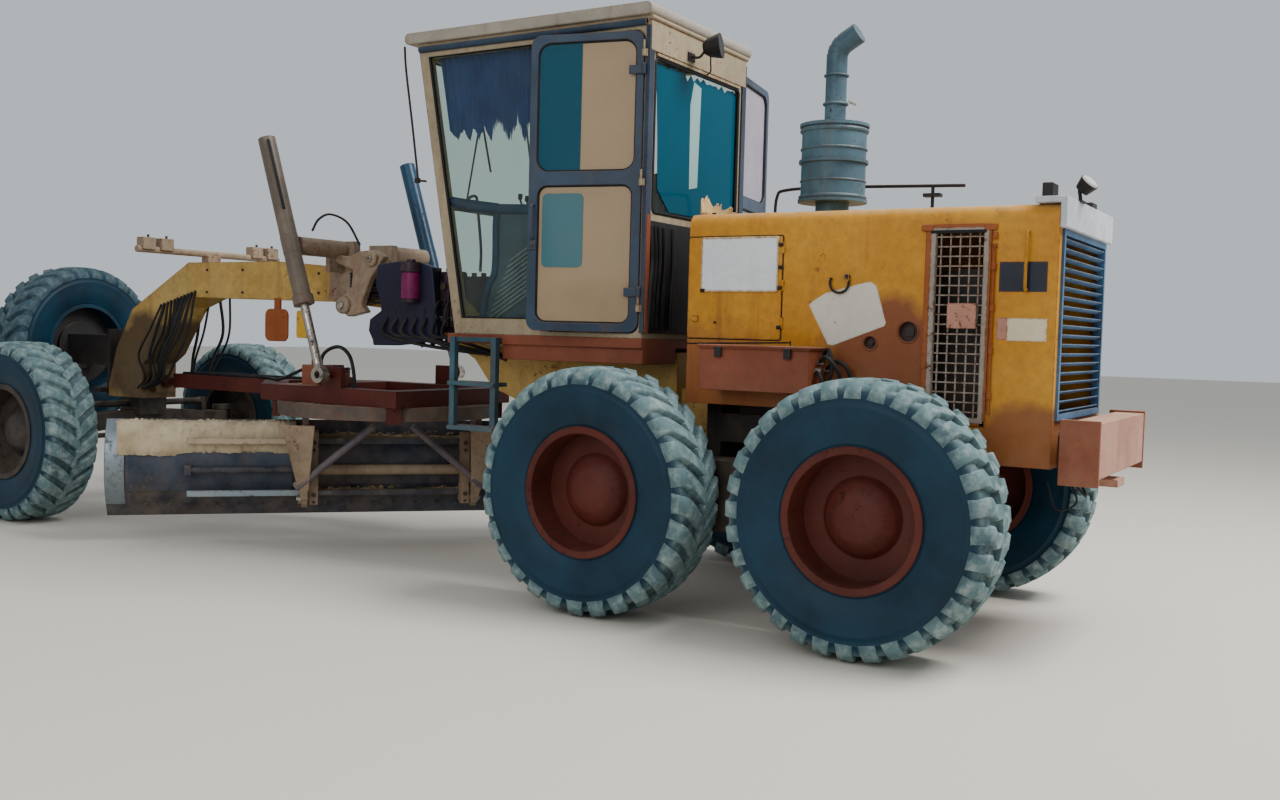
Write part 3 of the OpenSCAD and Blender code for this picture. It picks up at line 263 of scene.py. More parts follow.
# Each finish's maker, by the plain name that the pieces use
FINISHES = {
    "yellow": lambda: worn_paint("ochre enamel on sheet steel, sun-faded", "#ba7a12", "#cb9129",
        rusting=0.4, streaking=0.45, griming=0.35, bald_and_painted_light=[
            (at(-0.72, 0.55, 1.4), (0.5, 3.0, 0.42), 0.0, "#6f3527"),
            (at(0.3, 0.55, 1.12), (0.9, 3.0, 0.56), 0.0, "#8a4a2a"),
            (at(-1.4, 0.55, 1.0), (0.4, 3.0, 0.28), 0.0, "#7c4326")]),
    # The beam's dark patch over the lower part of its nose is painted shade
    "beam": lambda: worn_paint("ochre enamel on welded box section, dusty", "#b08a3e", "#c2a05a",
        griming=0.4, dusting=0.7, bald_and_painted_light=[(at(5.62, 0.0, 1.2), (0.75, 3.0, 0.5), 0.0, "#33271f")]),
    "brown": lambda: worn_paint("orange-brown enamel on sheet steel, rusted through", "#743a26", "#8a4a33",
        rusting=0.6, streaking=0.5),
    "oxide": lambda: worn_paint("red oxide paint on cast steel, dusty", "#431510", "#5a221a",
        rust="#33150f", gloss=0.55, dusting=0.12, dust="#8f6a5c"),
    "tan": lambda: worn_paint("sand-coloured enamel on steel plate, dusty", "#84705c", "#a49079",
        rusting=0.6, dusting=0.7, griming=0.45),
    "pink": lambda: worn_paint("faded red lead on rolled steel", "#ad7563", "#c4937d", rusting=0.55),
    "dark": lambda: worn_paint("black enamel on rolled steel, greasy and dusty", "#15171a", "#24262a",
        rust="#33231b", dusting=0.6, gloss=0.45, dust="#8c7c68"),
    "white": lambda: worn_paint("zinc-coated sheet, scuffed", "#b3b9c0", "#cfd3d7", rust="#7a6a58",
        rusting=0.4),
    "cream": lambda: worn_paint("cream enamel on folded steel, chalky", "#8d8068", "#a6977b", rusting=0.45,
        gloss=0.5),
    "roof": lambda: worn_paint("sand enamel on pressed roof sheet", "#8d877b", "#a39b8c", rusting=0.3,
        gloss=0.6),
    "blue": lambda: worn_paint("blue enamel on louvre strip, dusty", "#2c5275", "#4f7ca2", rust="#4a4038",
        rusting=0.4, dusting=0.3),
    "mesh": lambda: worn_paint("galvanised wire mesh, rust-stained", "#8a7d70", "#a3998c", rust="#5a3322"),
    "navy": lambda: worn_paint("navy enamel on steel tube", "#1b2c3d", "#304559", rust="#5b4334",
        rusting=0.35, gloss=0.3, dusting=0.3),
    "silencer": lambda: worn_paint("blue-grey heat-proof paint on rolled sheet", "#36525f", "#567583",
        rust="#4d4038", rusting=0.4, gloss=0.4),
    "rubber": rubber_with_painted_sky,
    "cast": lambda: worn_paint("grey cast iron, oily", "#232323", "#33312e"),
    "pane": lambda: glass("float glass, pale green, dusty", "#edf4f0", 0.99, 0.014, 0.2),
    "film": lambda: glass("teal window film on glass", "#074558", 0.12, 0.45, 0.12),
    "tan_pane": lambda: glass("toughened door glass, dusty tan", "#a0886a", 0.25, 0.75, 0.3),
    "curtain": lambda: moulded("cotton cloth, woven and dyed navy", "#04275c", "#083872", 0.85, 0.004),
    "vinyl": lambda: moulded("black vinyl on foam, ribbed", "#1b2327", "#2b3539", 0.5),
    "plastic": lambda: moulded("grained ABS, grey-blue", "#2b3b47", "#3d4f5c", 0.5),
    "dash": lambda: moulded("navy vinyl over foam", "#0b2340", "#163a5c", 0.45),
    # The ribbed cover's light greys are a painted highlight on its ribs
    "ribbing_painted_highlight": lambda: moulded("ribbed rubber cover, lightened as painted highlight", "#4d5a62", "#6d7b82", 0.6),
    "teal": lambda: worn_paint("teal enamel on steel angle, chipped", "#1b4655", "#2f6172", rust="#4d3428"),
    "valve": lambda: worn_paint("purple-brown primer on cast iron, oily", "#1f171e", "#3a2c38",
        rust="#33201a", gloss=0.3, dusting=0.35, dust="#8a7a70"),
    "magenta": lambda: moulded("magenta-tinted filter bowl", "#4a0f33", "#7a1d52", 0.25),
    "chrome": lambda: metal("hard chrome on ground steel, greasy", "#aaa196", "#3a342e", 0.2, 0.4),
    "soil": lambda: worn_paint("soil caked on abrasion-proof steel", "#3d352d", "#5b4e40", rust="#332419",
        dusting=1.0, dust="#b59c78", gloss=0.7),
    "worn_blue": lambda: worn_paint("blue-black steel plate, oiled and dusty", "#161f2e", "#2f3d52",
        rust="#2f241d", rusting=0.45, gloss=0.32, dusting=0.35, bald_and_painted_light=[
            (along_blade(-0.1, 1.0, 0.73), (0.12, 0.6, 0.1), BLADE_TURN, "#b0a083"),
            # The pale strip on the lower rail is partly steel rubbed bare and partly a painted highlight
            (along_blade(-0.11, 1.15, 0.36), (0.05, 0.9, 0.05), BLADE_TURN, "#8798a1")]),
    "steel_blue": lambda: worn_paint("blue-grey steel plate, rubbed by soil", "#1b2838", "#384a60",
        rust="#54473a", rusting=0.4, gloss=0.28, griming=0.15, dusting=0.2),
    "caked": lambda: moulded("dry soil, caked", "#9c8c70", "#bdad90", 0.95, 0.012),
    "barrel": lambda: worn_paint("grey-brown enamel on cylinder barrel, dusty", "#5f554a", "#7b6f61",
        rusting=0.45, gloss=0.4),
    "grey": lambda: worn_paint("grey enamel on steel tube, dusty", "#4d4a55", "#69646f", rusting=0.35,
        gloss=0.4),
    "cover": lambda: worn_paint("blue-black enamel on pressed cover, oily", "#141525", "#20213a",
        rust="#2a2230", rusting=0.35, gloss=0.35, dusting=0.25, dust="#6b6270", griming=0.15),
    "door_film": lambda: glass("faded teal window film", "#3f6a72", 0.12, 0.5, 0.2),
    "bare_end": lambda: metal("steel plate rubbed bare by soil", "#7f898f", "#54585a", 0.4, 0.35),
    "blue_barrel": lambda: worn_paint("blue enamel on cylinder barrel", "#12354c", "#1e4b66",
        rust="#3a3230", rusting=0.35, gloss=0.3, dusting=0.3),
    "orange": lambda: worn_paint("orange-brown primer on plate", "#8a4316", "#9c5322"),
    "amber": lambda: worn_paint("bright yellow enamel on plate", "#c79313", "#d6a52c", rusting=0.3),
    "patch": lambda: worn_paint("whitewash on sheet steel", "#c9c2b4", "#d6cfc0", rusting=0.15, griming=0.1,
        streaking=0.1, gloss=0.7),
    "lip": lambda: worn_paint("pale yellow enamel on bent sheet", "#cfae74", "#dcc08c", rusting=0.35,
        gloss=0.5),
    "brass": lambda: metal("brass, tarnished", "#b98a4a", "#5a4326", 0.3, 0.4),
    "hose": lambda: moulded("synthetic rubber hose, dusty", "#141316", "#2c2a28", 0.55),
    "plate": lambda: worn_paint("white enamel on aluminium plate", "#d3d6d9", "#e0e3e5", rust="#8a7a68",
        rusting=0.25, griming=0.15, streaking=0.15),
    "dark_plate": lambda: worn_paint("blue-black enamel on aluminium plate", "#141b26", "#202938",
        rusting=0.2, gloss=0.3, griming=0.1),
    "buff_plate": lambda: worn_paint("buff enamel on aluminium plate", "#cdbf9c", "#ddd0b0", rusting=0.3,
        griming=0.15),
    "seal": lambda: moulded("extruded rubber seal", "#0d0e10", "#1b1c1e", 0.6),
    "film_highlight": lambda: glass("painted highlight on window film", "#86a9a6", 0.15, 0.5),
    "pink_pane": lambda: glass("toughened door glass, dusty", "#a09aa6", 0.35, 0.7, 0.3),
    "ring": lambda: worn_paint("sand-coloured enamel on plate, greased dark above", "#84705c", "#a49079",
        rusting=0.6, griming=0.45, bald_and_painted_light=[(at(3.2, 0.0, 0.985), (3.0, 3.0, 0.19), 0.0, "#2b2329")]),
    "lens": lambda: glass("pressed lamp glass", "#d8dcd4", 0.5, 0.4),
}
MADE = {}


def finish(name):
    """The material of that plain name, made once."""
    if name not in MADE:
        MADE[name] = FINISHES[name]()
    return MADE[name]


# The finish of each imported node
FINISH_OF = {
    "rear_frame": "dark", "tandem_cases": "dark", "engine_block": "cast", "hood": "yellow",
    "hood_cap": "white", "side_grilles": "mesh", "radiator_grille": "blue", "bumper": "pink",
    "silencer": "silencer", "tool_boxes": "brown", "rear_lamps": "dark", "front_frame": "beam",
    "cab_floor": "brown", "cab_shell": "cream", "cab_roof": "roof", "cab_glass": "pane",
    "curtain": "curtain", "seat": "vinyl", "console": "plastic", "steps": "teal", "hydraulics": "valve",
    "lift_arms": "tan", "light_bar": "tan", "front_axle": "dark", "spare_carrier": "dark",
    "knuckle_left": "dark", "knuckle_right": "dark", "tie_rod": "dark", "door_left": "navy",
    "door_right": "navy", "drawbar": "oxide", "circle": "ring", "slide_brackets": "tan",
    "moldboard": "worn_blue", "lift_barrel_left": "barrel", "lift_barrel_right": "blue_barrel",
    "lift_rod_left": "chrome", "lift_rod_right": "chrome",
}


# Shapes

def add_block(bm, low, high):
    """A block between two corners."""
    place = Matrix.Translation((low + high) / 2) @ Matrix.Diagonal((*(high - low), 1.0))
    bmesh.ops.create_cube(bm, size=1.0, matrix=place)


def add_rod(bm, start, end, radius, sides=16, tip=None):
    """A round bar between two points, tapered where a tip radius is given."""
    along = end - start
    place = Matrix.Translation((start + end) / 2) @ along.to_track_quat("Z", "Y").to_matrix().to_4x4()
    bmesh.ops.create_cone(bm, cap_ends=True, segments=sides, radius1=radius,
                          radius2=radius if tip is None else tip, depth=along.length, matrix=place)


def circle(count):
    """Points of even steps round a circle of radius one."""
    return [(math.cos(a), math.sin(a)) for a in (2 * math.pi * k / count for k in range(count))]


def join(bm, rings, ends="capped"):
    """Faces from each ring of points to the next, with its ends capped, open, or met in a loop."""
    for near, far in zip(rings, rings[1:] + rings[:1] if ends == "met" else rings[1:]):
        for k in range(len(near)):
            after = (k + 1) % len(near)
            bm.faces.new((near[k], near[after], far[after], far[k]))
    if ends == "capped":
        bm.faces.new(rings[0])
        bm.faces.new(list(reversed(rings[-1])))


def add_sheet(bm, columns):
    """Faces over a grid of points, given in columns."""
    for near, far in zip(columns, columns[1:]):
        for j in range(len(near) - 1):
            bm.faces.new((near[j], far[j], far[j + 1], near[j + 1]))


def curve_through(points, steps=6):
    """Points on a smooth curve through the given ones."""
    padded = [2 * points[0] - points[1], *points, 2 * points[-1] - points[-2]]
    made = []
    for a, b, c, d in zip(padded, padded[1:], padded[2:], padded[3:]):
        for i in range(steps):
            t = i / steps
            made.append(0.5 * (2 * b + (c - a) * t + (2 * a - 5 * b + 4 * c - d) * t * t
                               + (3 * b - 3 * c + d - a) * t ** 3))
    return made + [points[-1]]


def add_tube(bm, points, radius, sides=10):
    """A tube along a row of points, closed at both ends."""
    rings = []
    out = (points[1] - points[0]).normalized().orthogonal().normalized()
    for i, point in enumerate(points):
        along = (points[min(i + 1, len(points) - 1)] - points[max(i - 1, 0)]).normalized()
        out = (out - along * out.dot(along)).normalized()
        other = along.cross(out)
        rings.append([bm.verts.new(point + radius * (c * out + s * other)) for c, s in circle(sides)])
    join(bm, rings)


def add_hose(bm, points, radius, sides=8):
    """A hose or bent pipe through a few points."""
    add_tube(bm, curve_through(points), radius, sides)


def add_turned(bm, profile, sides):
    """A shape turned about Y: radius and place along the axle for each point of its closed profile."""
    rings = [[bm.verts.new((r * c, y, r * s)) for c, s in circle(sides)] for r, y in profile]
    join(bm, rings, "met")
    return rings


def stand(name, data):
    """An object of that data, in the scene."""
    made = bpy.data.objects.new(name, data)
    bpy.context.scene.collection.objects.link(made)
    return made


def piece(name, bm, node, kind, replaces=(), bevel=0.0, sharp=35.0):
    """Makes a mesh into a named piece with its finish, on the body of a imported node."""
    body, slot = BODY_OF[node], SLOT_OF[node]
    bmesh.ops.recalc_face_normals(bm, faces=bm.faces)
    mesh = bpy.data.meshes.new(name)
    for face in bm.faces:
        face.smooth = True
    limit = math.radians(sharp)
    for edge in bm.edges:
        edge.smooth = len(edge.link_faces) != 2 or edge.calc_face_angle(0.0) < limit
    bm.to_mesh(mesh)
    bm.free()
    mesh.materials.append(finish(kind))
    made = stand(name, mesh)
    if bevel:
        soft = made.modifiers.new("soft edges", "BEVEL")
        soft.width = bevel
        soft.segments = 2
        soft.limit_method = "ANGLE"
        soft.angle_limit = limit
        soft.use_clamp_overlap = True
        made.modifiers.new("flat faces", "WEIGHTED_NORMAL").keep_sharp = True
    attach(made, body)
    if replaces:
        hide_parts(*replaces)
    return made


def soft_copy(node, bevel, kind=None):
    """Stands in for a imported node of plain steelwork, with the same shape and softened edges."""
    bm = bmesh.new()
    bm.from_mesh(frame["nodes"][node].data)
    bmesh.ops.remove_doubles(bm, verts=bm.verts, dist=2e-5)
    bmesh.ops.dissolve_limit(bm, angle_limit=math.radians(0.5), verts=bm.verts, edges=bm.edges)
    return piece(node + "_body", bm, node, kind or FINISH_OF[node], (node,), bevel)


def rounded(low_u, low_v, high_u, high_v, radius):
    """A rectangle with rounded corners, as a loop of points in its own plane."""
    loop, steps = [], 5
    for u, v, start in ((high_u - radius, low_v + radius, -90), (high_u - radius, high_v - radius, 0),
                        (low_u + radius, high_v - radius, 90), (low_u + radius, low_v + radius, 180)):
        for i in range(steps + 1):
            a = math.radians(start + 90 * i / steps)
            loop.append((u + radius * math.cos(a), v + radius * math.sin(a)))
    return loop


def upright(y):
    """The plane along the machine at that Y: u is X from the tandem, and v is the height."""
    return Matrix.Translation(at(0.0, y, 0.0)) @ Matrix.Rotation(math.radians(90), 4, "X")


# Turns a flat outline so that its u runs along Y and its v along Z
TO_YZ = Matrix(((0, 0, 1, 0), (1, 0, 0, 0), (0, 1, 0, 0), (0, 0, 0, 1)))


def across(x):
    """The plane across the machine at that X: u is Y, and v is the height."""
    return Matrix.Translation(at(x, 0.0, 0.0)) @ TO_YZ


def add_plate(bm, outline, thick, place, holes=()):
    """A flat plate with holes, its thickness centred on the plane that place gives."""
    curve = bpy.data.curves.new("outline", "CURVE")
    curve.dimensions = "2D"
    curve.fill_mode = "BOTH"
    curve.extrude = thick / 2
    for loop in (outline, *holes):
        spline = curve.splines.new("POLY")
        spline.points.add(len(loop) - 1)
        for point, (u, v) in zip(spline.points, loop):
            point.co = (u, v, 0.0, 1.0)
        spline.use_cyclic_u = True
    holder = bpy.data.objects.new("outline", curve)
    mesh = bpy.data.meshes.new_from_object(holder)
    mesh.transform(place)
    made = len(bm.verts)
    bm.from_mesh(mesh)
    bm.verts.ensure_lookup_table()
    bmesh.ops.remove_doubles(bm, verts=bm.verts[made:], dist=1e-5)
    bpy.data.objects.remove(holder)
    bpy.data.curves.remove(curve)
    bpy.data.meshes.remove(mesh)


def add_hoop(bm, loop, place, radius):
    """A round seal or rod along a closed loop of points in a plane."""
    points = [place @ Vector((u, v, 0.0)) for u, v in loop]
    rings = []
    normal = (place.to_3x3() @ Vector((0.0, 0.0, 1.0))).normalized()
    for i, point in enumerate(points):
        out = (points[(i + 1) % len(points)] - points[i - 1]).normalized().cross(normal)
        rings.append([bm.verts.new(point + radius * (c * out + s * normal)) for c, s in circle(8)])
    join(bm, rings, "met")


def ragged(start, end, height, drop, count, seed):
    """A torn edge from one side to the other, as points in a plane."""
    rng = random.Random(seed)
    step = (end - start) / count
    return [(start + step * i, height - drop * rng.random() ** 1.5 * (0.4 if i % 2 else 1.0))
            for i in range(count + 1)]


def several(name, node, kind, makers, bevel=0.0, replaces=()):
    """One piece from a row of calls, each a shape and what it is given."""
    bm = bmesh.new()
    for maker, *given in makers:
        maker(bm, *given)
    return piece(name, bm, node, kind, replaces, bevel)


# Sizes and colours that a user would change

class GraderSizes(bpy.types.PropertyGroup):
    """Sizes of the small forms that the scene adds."""
    lug_height: bpy.props.FloatProperty(
        name="Lug height", description="Height of a tread lug", default=0.035, min=0.01, max=0.06,
        unit="LENGTH")
    rear_lugs: bpy.props.IntProperty(
        name="Rear lugs", description="Lugs on each shoulder of a rear tyre", default=32, min=16, max=40)
    mid_lugs: bpy.props.IntProperty(
        name="Other lugs", description="Lugs on each shoulder of the other tyres", default=28,
        min=16, max=40)
    edge_softness: bpy.props.FloatProperty(
        name="Edge softness", description="Radius on the edges of steel plate", default=0.005,
        min=0.001, max=0.02, unit="LENGTH")


class GraderColours(bpy.types.PropertyGroup):
    """Colours of the stage."""
    floor: bpy.props.FloatVectorProperty(
        name="Floor", description="Colour of the floor", subtype="COLOR", size=3,
        default=linear("#cfc8bb")[:3])
    sky: bpy.props.FloatVectorProperty(
        name="Surround", description="Colour of the light from all round", subtype="COLOR", size=3,
        default=linear("#dfe6ee")[:3])


# The view from behind the machine's left side: its place, its yaw, pitch and roll in degrees,
# and its lens in mm
CAMERA_AT = (-2.874, 6.573, 1.524)
CAMERA_TURN = (-58.777, -3.061, 1.522)
CAMERA_LENS = 34.615
FLOOR_HALF = 60.0
SURROUND_STRENGTH = 0.8
# Each lamp's place, width in metres and power in watts, and the point that they are turned to
LAMPS = {"key light": ((-8.0, -1.5, 9.5), 5.0, 1700.0), "fill light": ((-2.0, 9.0, 5.0), 6.0, 260.0)}
LAMP_AIM = Vector((0.0, 0.0, 1.0))


class GRADER_OT_stage(bpy.types.Operator):
    """Sets the camera, the floor and the soft light"""
    bl_idname = "grader.stage"
    bl_label = "Stage"

    def execute(self, context):
        scene = context.scene
        yaw, pitch, roll = (math.radians(angle) for angle in CAMERA_TURN)
        ahead = Vector((math.cos(yaw) * math.cos(pitch), math.sin(yaw) * math.cos(pitch), math.sin(pitch)))
        right = Vector((math.sin(yaw), -math.cos(yaw), 0.0))
        up = right.cross(ahead)
        turned_right = math.cos(roll) * right + math.sin(roll) * up
        turned_up = math.cos(roll) * up - math.sin(roll) * right
        camera = bpy.data.cameras.new("camera")
        camera.sensor_width = 36.0
        camera.lens = CAMERA_LENS
        camera.clip_end = 200.0
        scene.camera = stand("camera", camera)
        turn = Matrix((turned_right, turned_up, -ahead)).transposed().to_4x4()
        scene.camera.matrix_world = Matrix.Translation(at(*CAMERA_AT)) @ turn
        bm = bmesh.new()
        bmesh.ops.create_grid(bm, x_segments=1, y_segments=1, size=FLOOR_HALF)
        mesh = bpy.data.meshes.new("floor")
        bm.to_mesh(mesh)
        bm.free()
        floor = stand("floor", mesh)
        material, tree, _ = new_material("plain studio floor")
        mesh.materials.append(surfaced(material, add_node(tree, "ShaderNodeBsdfPrincipled", {
            "Base Color": [*scene.grader_colours.floor, 1.0], "Roughness": 0.9})))
        scene.world = bpy.data.worlds.new("soft surround")
        scene.world.use_nodes = True
        surround = scene.world.node_tree.nodes["Background"].inputs
        surround["Color"].default_value = [*scene.grader_colours.sky, 1.0]
        surround["Strength"].default_value = SURROUND_STRENGTH
        for name, (place, size, power) in LAMPS.items():
            lamp = bpy.data.lights.new(name, "AREA")
            lamp.size = size
            lamp.energy = power
            holder = stand(name, lamp)
            holder.location = place
            holder.rotation_euler = (LAMP_AIM - Vector(place)).to_track_quat("-Z", "Y").to_euler()
        return {"FINISHED"}


class GRADER_OT_steelwork(bpy.types.Operator):
    """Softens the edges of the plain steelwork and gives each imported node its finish"""
    bl_idname = "grader.steelwork"
    bl_label = "Steelwork"

    def execute(self, context):
        soft = context.scene.grader_sizes.edge_softness
        for node in FINISH_OF:
            # The curtain, the seat and the doors are made by their own steps
            if node not in ("curtain", "seat", "door_left", "door_right"):
                soft_copy(node, 0.0 if node in ("side_grilles", "radiator_grille", "cab_glass") else soft)
        return {"FINISHED"}


# Each tyre's tread, and how far it is turned about its axle
TYRE_PLACES = {
    "rear_left": ("blocks", 0.0), "rear_right": ("blocks", 0.4), "mid_left": ("bars", 0.0),
    "mid_right": ("bars", 0.3), "front_left": ("bars", 0.1), "front_right": ("bars", 0.2),
}


def tread_radius(y):
    """Radius over the lugs at a distance from the tyre's middle plane, rounded at the shoulder."""
    share = min(abs(y) / TYRE_HALF, 1.0)
    return TYRE_R - 0.01 * share ** 2 - 0.052 * max(0.0, (share - 0.72) / 0.28) ** 2.2


def add_lug(bm, pattern, side, angle, pitch, height, weights):
    """One lug, from the shoulder to just past the tyre's middle."""
    count = 9
    start, end = 0.985 * TYRE_HALF * side, -0.06 * TYRE_HALF * side
    rings = []
    for i in range(count):
        t = i / (count - 1)
        y = start + (end - start) * t
        # A block's inner half steps sideways along the tread, and a bar slants all the way
        if pattern == "blocks":
            shift = 0.0 if t < 0.45 else 0.28 * pitch * min(1.0, (t - 0.45) / 0.08)
            half = pitch * (0.31 if t < 0.45 else 0.27)
        else:
            shift = 0.95 * pitch * t ** 1.25
            half = pitch * (0.33 - 0.06 * t)
        top = tread_radius(y)
        base = top - height * (1.0 if t > 0.1 else 0.75)
        low = min(base, TYRE_R - height) - 0.012
        ring = []
        for da, r in ((-half * 1.22, low), (-half, top - 0.006), (-half * 0.86, top), (half * 0.86, top),
                      (half, top - 0.006), (half * 1.22, low)):
            a = angle + shift + da
            vert = bm.verts.new((r * math.cos(a), y, r * math.sin(a)))
            vert[weights] = 0.55 if r == low else 1.0
            ring.append(vert)
        rings.append(ring)
    join(bm, rings)


def tyre_mesh(pattern, lugs, height, dusting=1.0):
    """A tyre about its own middle, its axle along Y: a ribbed carcass with lugs on both shoulders."""
    bm = bmesh.new()
    weights = bm.verts.layers.float.new("tread")
    base = TYRE_R - height
    bead = RIM_R - 0.027
    half = TYRE_HALF
    # Radius and distance from the middle plane, from the bead over the sidewall to the shoulder
    side = [(bead, 0.82 * half), (RIM_R + 0.006, 0.822 * half), (RIM_R + 0.012, 0.86 * half),
            (RIM_R + 0.022, 0.862 * half), (RIM_R + 0.03, 0.885 * half), (0.44, 0.965 * half),
            (0.49, 0.998 * half), (0.53, 0.994 * half), (0.535, 1.0 * half), (0.545, 1.0 * half),
            (0.55, 0.985 * half), (0.575, 0.962 * half), (0.579, 0.975 * half), (0.586, 0.975 * half),
            (0.59, 0.952 * half), (base - 0.028, 0.935 * half), (base - 0.01, 0.9 * half),
            (base, 0.8 * half), (base + 0.004, 0.3 * half)]
    profile = [(r, y) for r, y in side] + [(r, -y) for r, y in reversed(side)]
    rings = add_turned(bm, profile, 96)
    for (r, y), ring in zip(profile, rings):
        for vert in ring:
            vert[weights] = min(1.0, max(0.0, (r - base + 0.035) / 0.03)) * 0.55
    pitch = 2 * math.pi / lugs
    for k in range(lugs):
        for s in (1, -1):
            add_lug(bm, pattern, s, k * pitch + (0.0 if s > 0 else pitch / 2), pitch, height, weights)
    for vert in bm.verts:
        vert[weights] *= dusting
    return bm


class GRADER_OT_tyres(bpy.types.Operator):
    """Makes the six tyres and the spare, with their lugs"""
    bl_idname = "grader.tyres"
    bl_label = "Tyres"

    def execute(self, context):
        sizes = context.scene.grader_sizes
        for place, (pattern, turn) in TYRE_PLACES.items():
            node = "tyre_" + place
            count = sizes.rear_lugs if pattern == "blocks" else sizes.mid_lugs
            bm = tyre_mesh(pattern, count, sizes.lug_height)
            mirrored = Matrix.Diagonal((1.0, 1.0 if "left" in place else -1.0, 1.0, 1.0))
            bm.transform(Matrix.Translation(middle(node)) @ Matrix.Rotation(turn, 4, "Y") @ mirrored)
            piece(node + "_tread", bm, node, "rubber", (node,), 0.0, 50.0)
        # The spare's tread gets less dust, which darkens it as painted shade
        bm = tyre_mesh("bars", sizes.mid_lugs, sizes.lug_height, 0.3)
        bm.transform(Matrix.Translation(middle("spare_tyre")) @ Matrix.Rotation(math.radians(-90), 4, "Z"))
        piece("spare_tyre_tread", bm, "spare_tyre", "rubber", ("spare_tyre",), 0.0, 50.0)
        return {"FINISHED"}


class GRADER_OT_rims(bpy.types.Operator):
    """Makes the rims, with their lock rings and domed hubs"""
    bl_idname = "grader.rims"
    bl_label = "Rims"

    def execute(self, context):
        for place in TYRE_PLACES:
            # The front rims are drawn black, the others red oxide
            soft_copy("rim_" + place, 0.003, "dark" if place.startswith("front") else "oxide")
        return {"FINISHED"}


# The doors' hinges, and for each leaf how far it stands open, in degrees, and its side
HINGE_X, HINGE_Y, HINGE_ZS = 0.77, 0.616, (1.72, 2.97)
DOORS = {"left": (12.0, 1.0), "right": (80.0, -1.0)}
# The leaf's extent at rest along each axis, and its panes' corners in X and Z
DOOR_X, DOOR_Z, DOOR_Y = (0.775, 1.47), (1.53, 3.23), (0.555, 0.6)
UPPER_PANE = (0.82, 2.45, 1.425, 3.185)
LOWER_PANE = (0.83, 1.58, 1.415, 2.37)


def widened(corners, edge):
    """A rectangle's low and high corners, moved out by an edge."""
    low_u, low_v, high_u, high_v = corners
    return low_u - edge, low_v - edge, high_u + edge, high_v + edge


class GRADER_OT_doors(bpy.types.Operator):
    """Makes the two cab doors: tube frames, panes, strips of film, seals, handles and hinges"""
    bl_idname = "grader.doors"
    bl_label = "Doors"

    def execute(self, context):
        middle_y = sum(DOOR_Y) / 2
        plane, film_plane = upright(middle_y), upright(middle_y + 0.005)
        hinge = Matrix.Translation(at(HINGE_X, HINGE_Y, 0.0))
        leaf = rounded(DOOR_X[0], DOOR_Z[0], DOOR_X[1], DOOR_Z[1], 0.06)
        openings = [rounded(*UPPER_PANE, 0.075), rounded(*LOWER_PANE, 0.06)]
        panes = [rounded(*widened(UPPER_PANE, 0.01), 0.07), rounded(*widened(LOWER_PANE, 0.01), 0.06)]
        frame_makers = [(add_plate, leaf, DOOR_Y[1] - DOOR_Y[0] - 0.004, plane, openings)]
        for z in HINGE_ZS:
            frame_makers += [
                (add_rod, at(HINGE_X, HINGE_Y, z + 0.012), at(HINGE_X, HINGE_Y, z + 0.07), 0.012),
                (add_block, at(HINGE_X, 0.602, z + 0.015), at(0.86, 0.612, z + 0.065))]
        seals = [(add_hoop, opening, plane, 0.011) for opening in openings]
        seals.append((add_hose, [at(1.45, 0.575, 1.6), at(1.452, 0.59, 2.4), at(1.45, 0.575, 3.16)],
                      0.006, 10))
        handle = [
            (add_hose, [at(1.435, 0.6, 2.06), at(1.435, 0.63, 2.075), at(1.435, 0.636, 2.16),
                        at(1.435, 0.63, 2.245), at(1.435, 0.6, 2.26)], 0.009, 10),
            (add_block, at(1.415, 0.598, 2.0), at(1.462, 0.612, 2.055)),
            (add_rod, at(1.438, 0.608, 2.028), at(1.438, 0.622, 2.028), 0.014)]
        film_upper = [(1.155, 2.452), (1.155, 3.183), (1.3, 3.184), (1.37, 3.178), (1.405, 3.15),
                      (1.423, 3.1), (1.424, 2.55), (1.41, 2.49), (1.36, 2.453)]
        film_lower = rounded(1.13, 1.9, 1.385, 2.325, 0.03)
        for side, (angle, sign) in DOORS.items():
            node = "door_" + side
            swing = (Matrix.Diagonal((1.0, sign, 1.0, 1.0)) @ hinge
                     @ Matrix.Rotation(math.radians(angle), 4, "Z") @ hinge.inverted())
            parts = [
                several(node + "_frame", node, "navy", frame_makers, 0.012, (node,)),
                several(node + "_seals", node, "seal", seals),
                several(node + "_handle", node, "navy", handle, 0.003),
                several(node + "_panes", node, "tan_pane" if side == "left" else "pink_pane", [
                    (add_plate, pane, 0.006, plane) for pane in panes]),
            ]
            if side == "left":
                for part, kind, outline in (
                        ("_film", "film", film_upper), ("_film_low", "door_film", film_lower)):
                    film = (add_plate, outline, 0.002, film_plane)
                    parts.append(several(node + part, node, kind, [film]))
            for part in parts:
                part.data.transform(swing)
                if sign < 0:
                    part.data.flip_normals()
        return {"FINISHED"}


# The cab's windows: the side window's corners, and the slope of the front
CAB_REAR, CAB_HALF = 0.75, 0.6
FRONT_FOOT, FRONT_LEAN, FRONT_LOW, FRONT_HIGH = 2.11, 0.34, 1.5, 3.31


def front_x(z):
    """X of the leaning front of the cab at a height."""
    return FRONT_FOOT + FRONT_LEAN * (z - FRONT_LOW) / (FRONT_HIGH - FRONT_LOW)


def front_plane(depth):
    """The leaning plane of the cab's front, that far behind its face: u is Y, and v runs up the slope."""
    lean = math.atan2(FRONT_LEAN, FRONT_HIGH - FRONT_LOW)
    foot = Matrix.Translation(at(FRONT_FOOT - depth, 0.0, FRONT_LOW))
    return foot @ Matrix.Rotation(lean, 4, "Y") @ TO_YZ


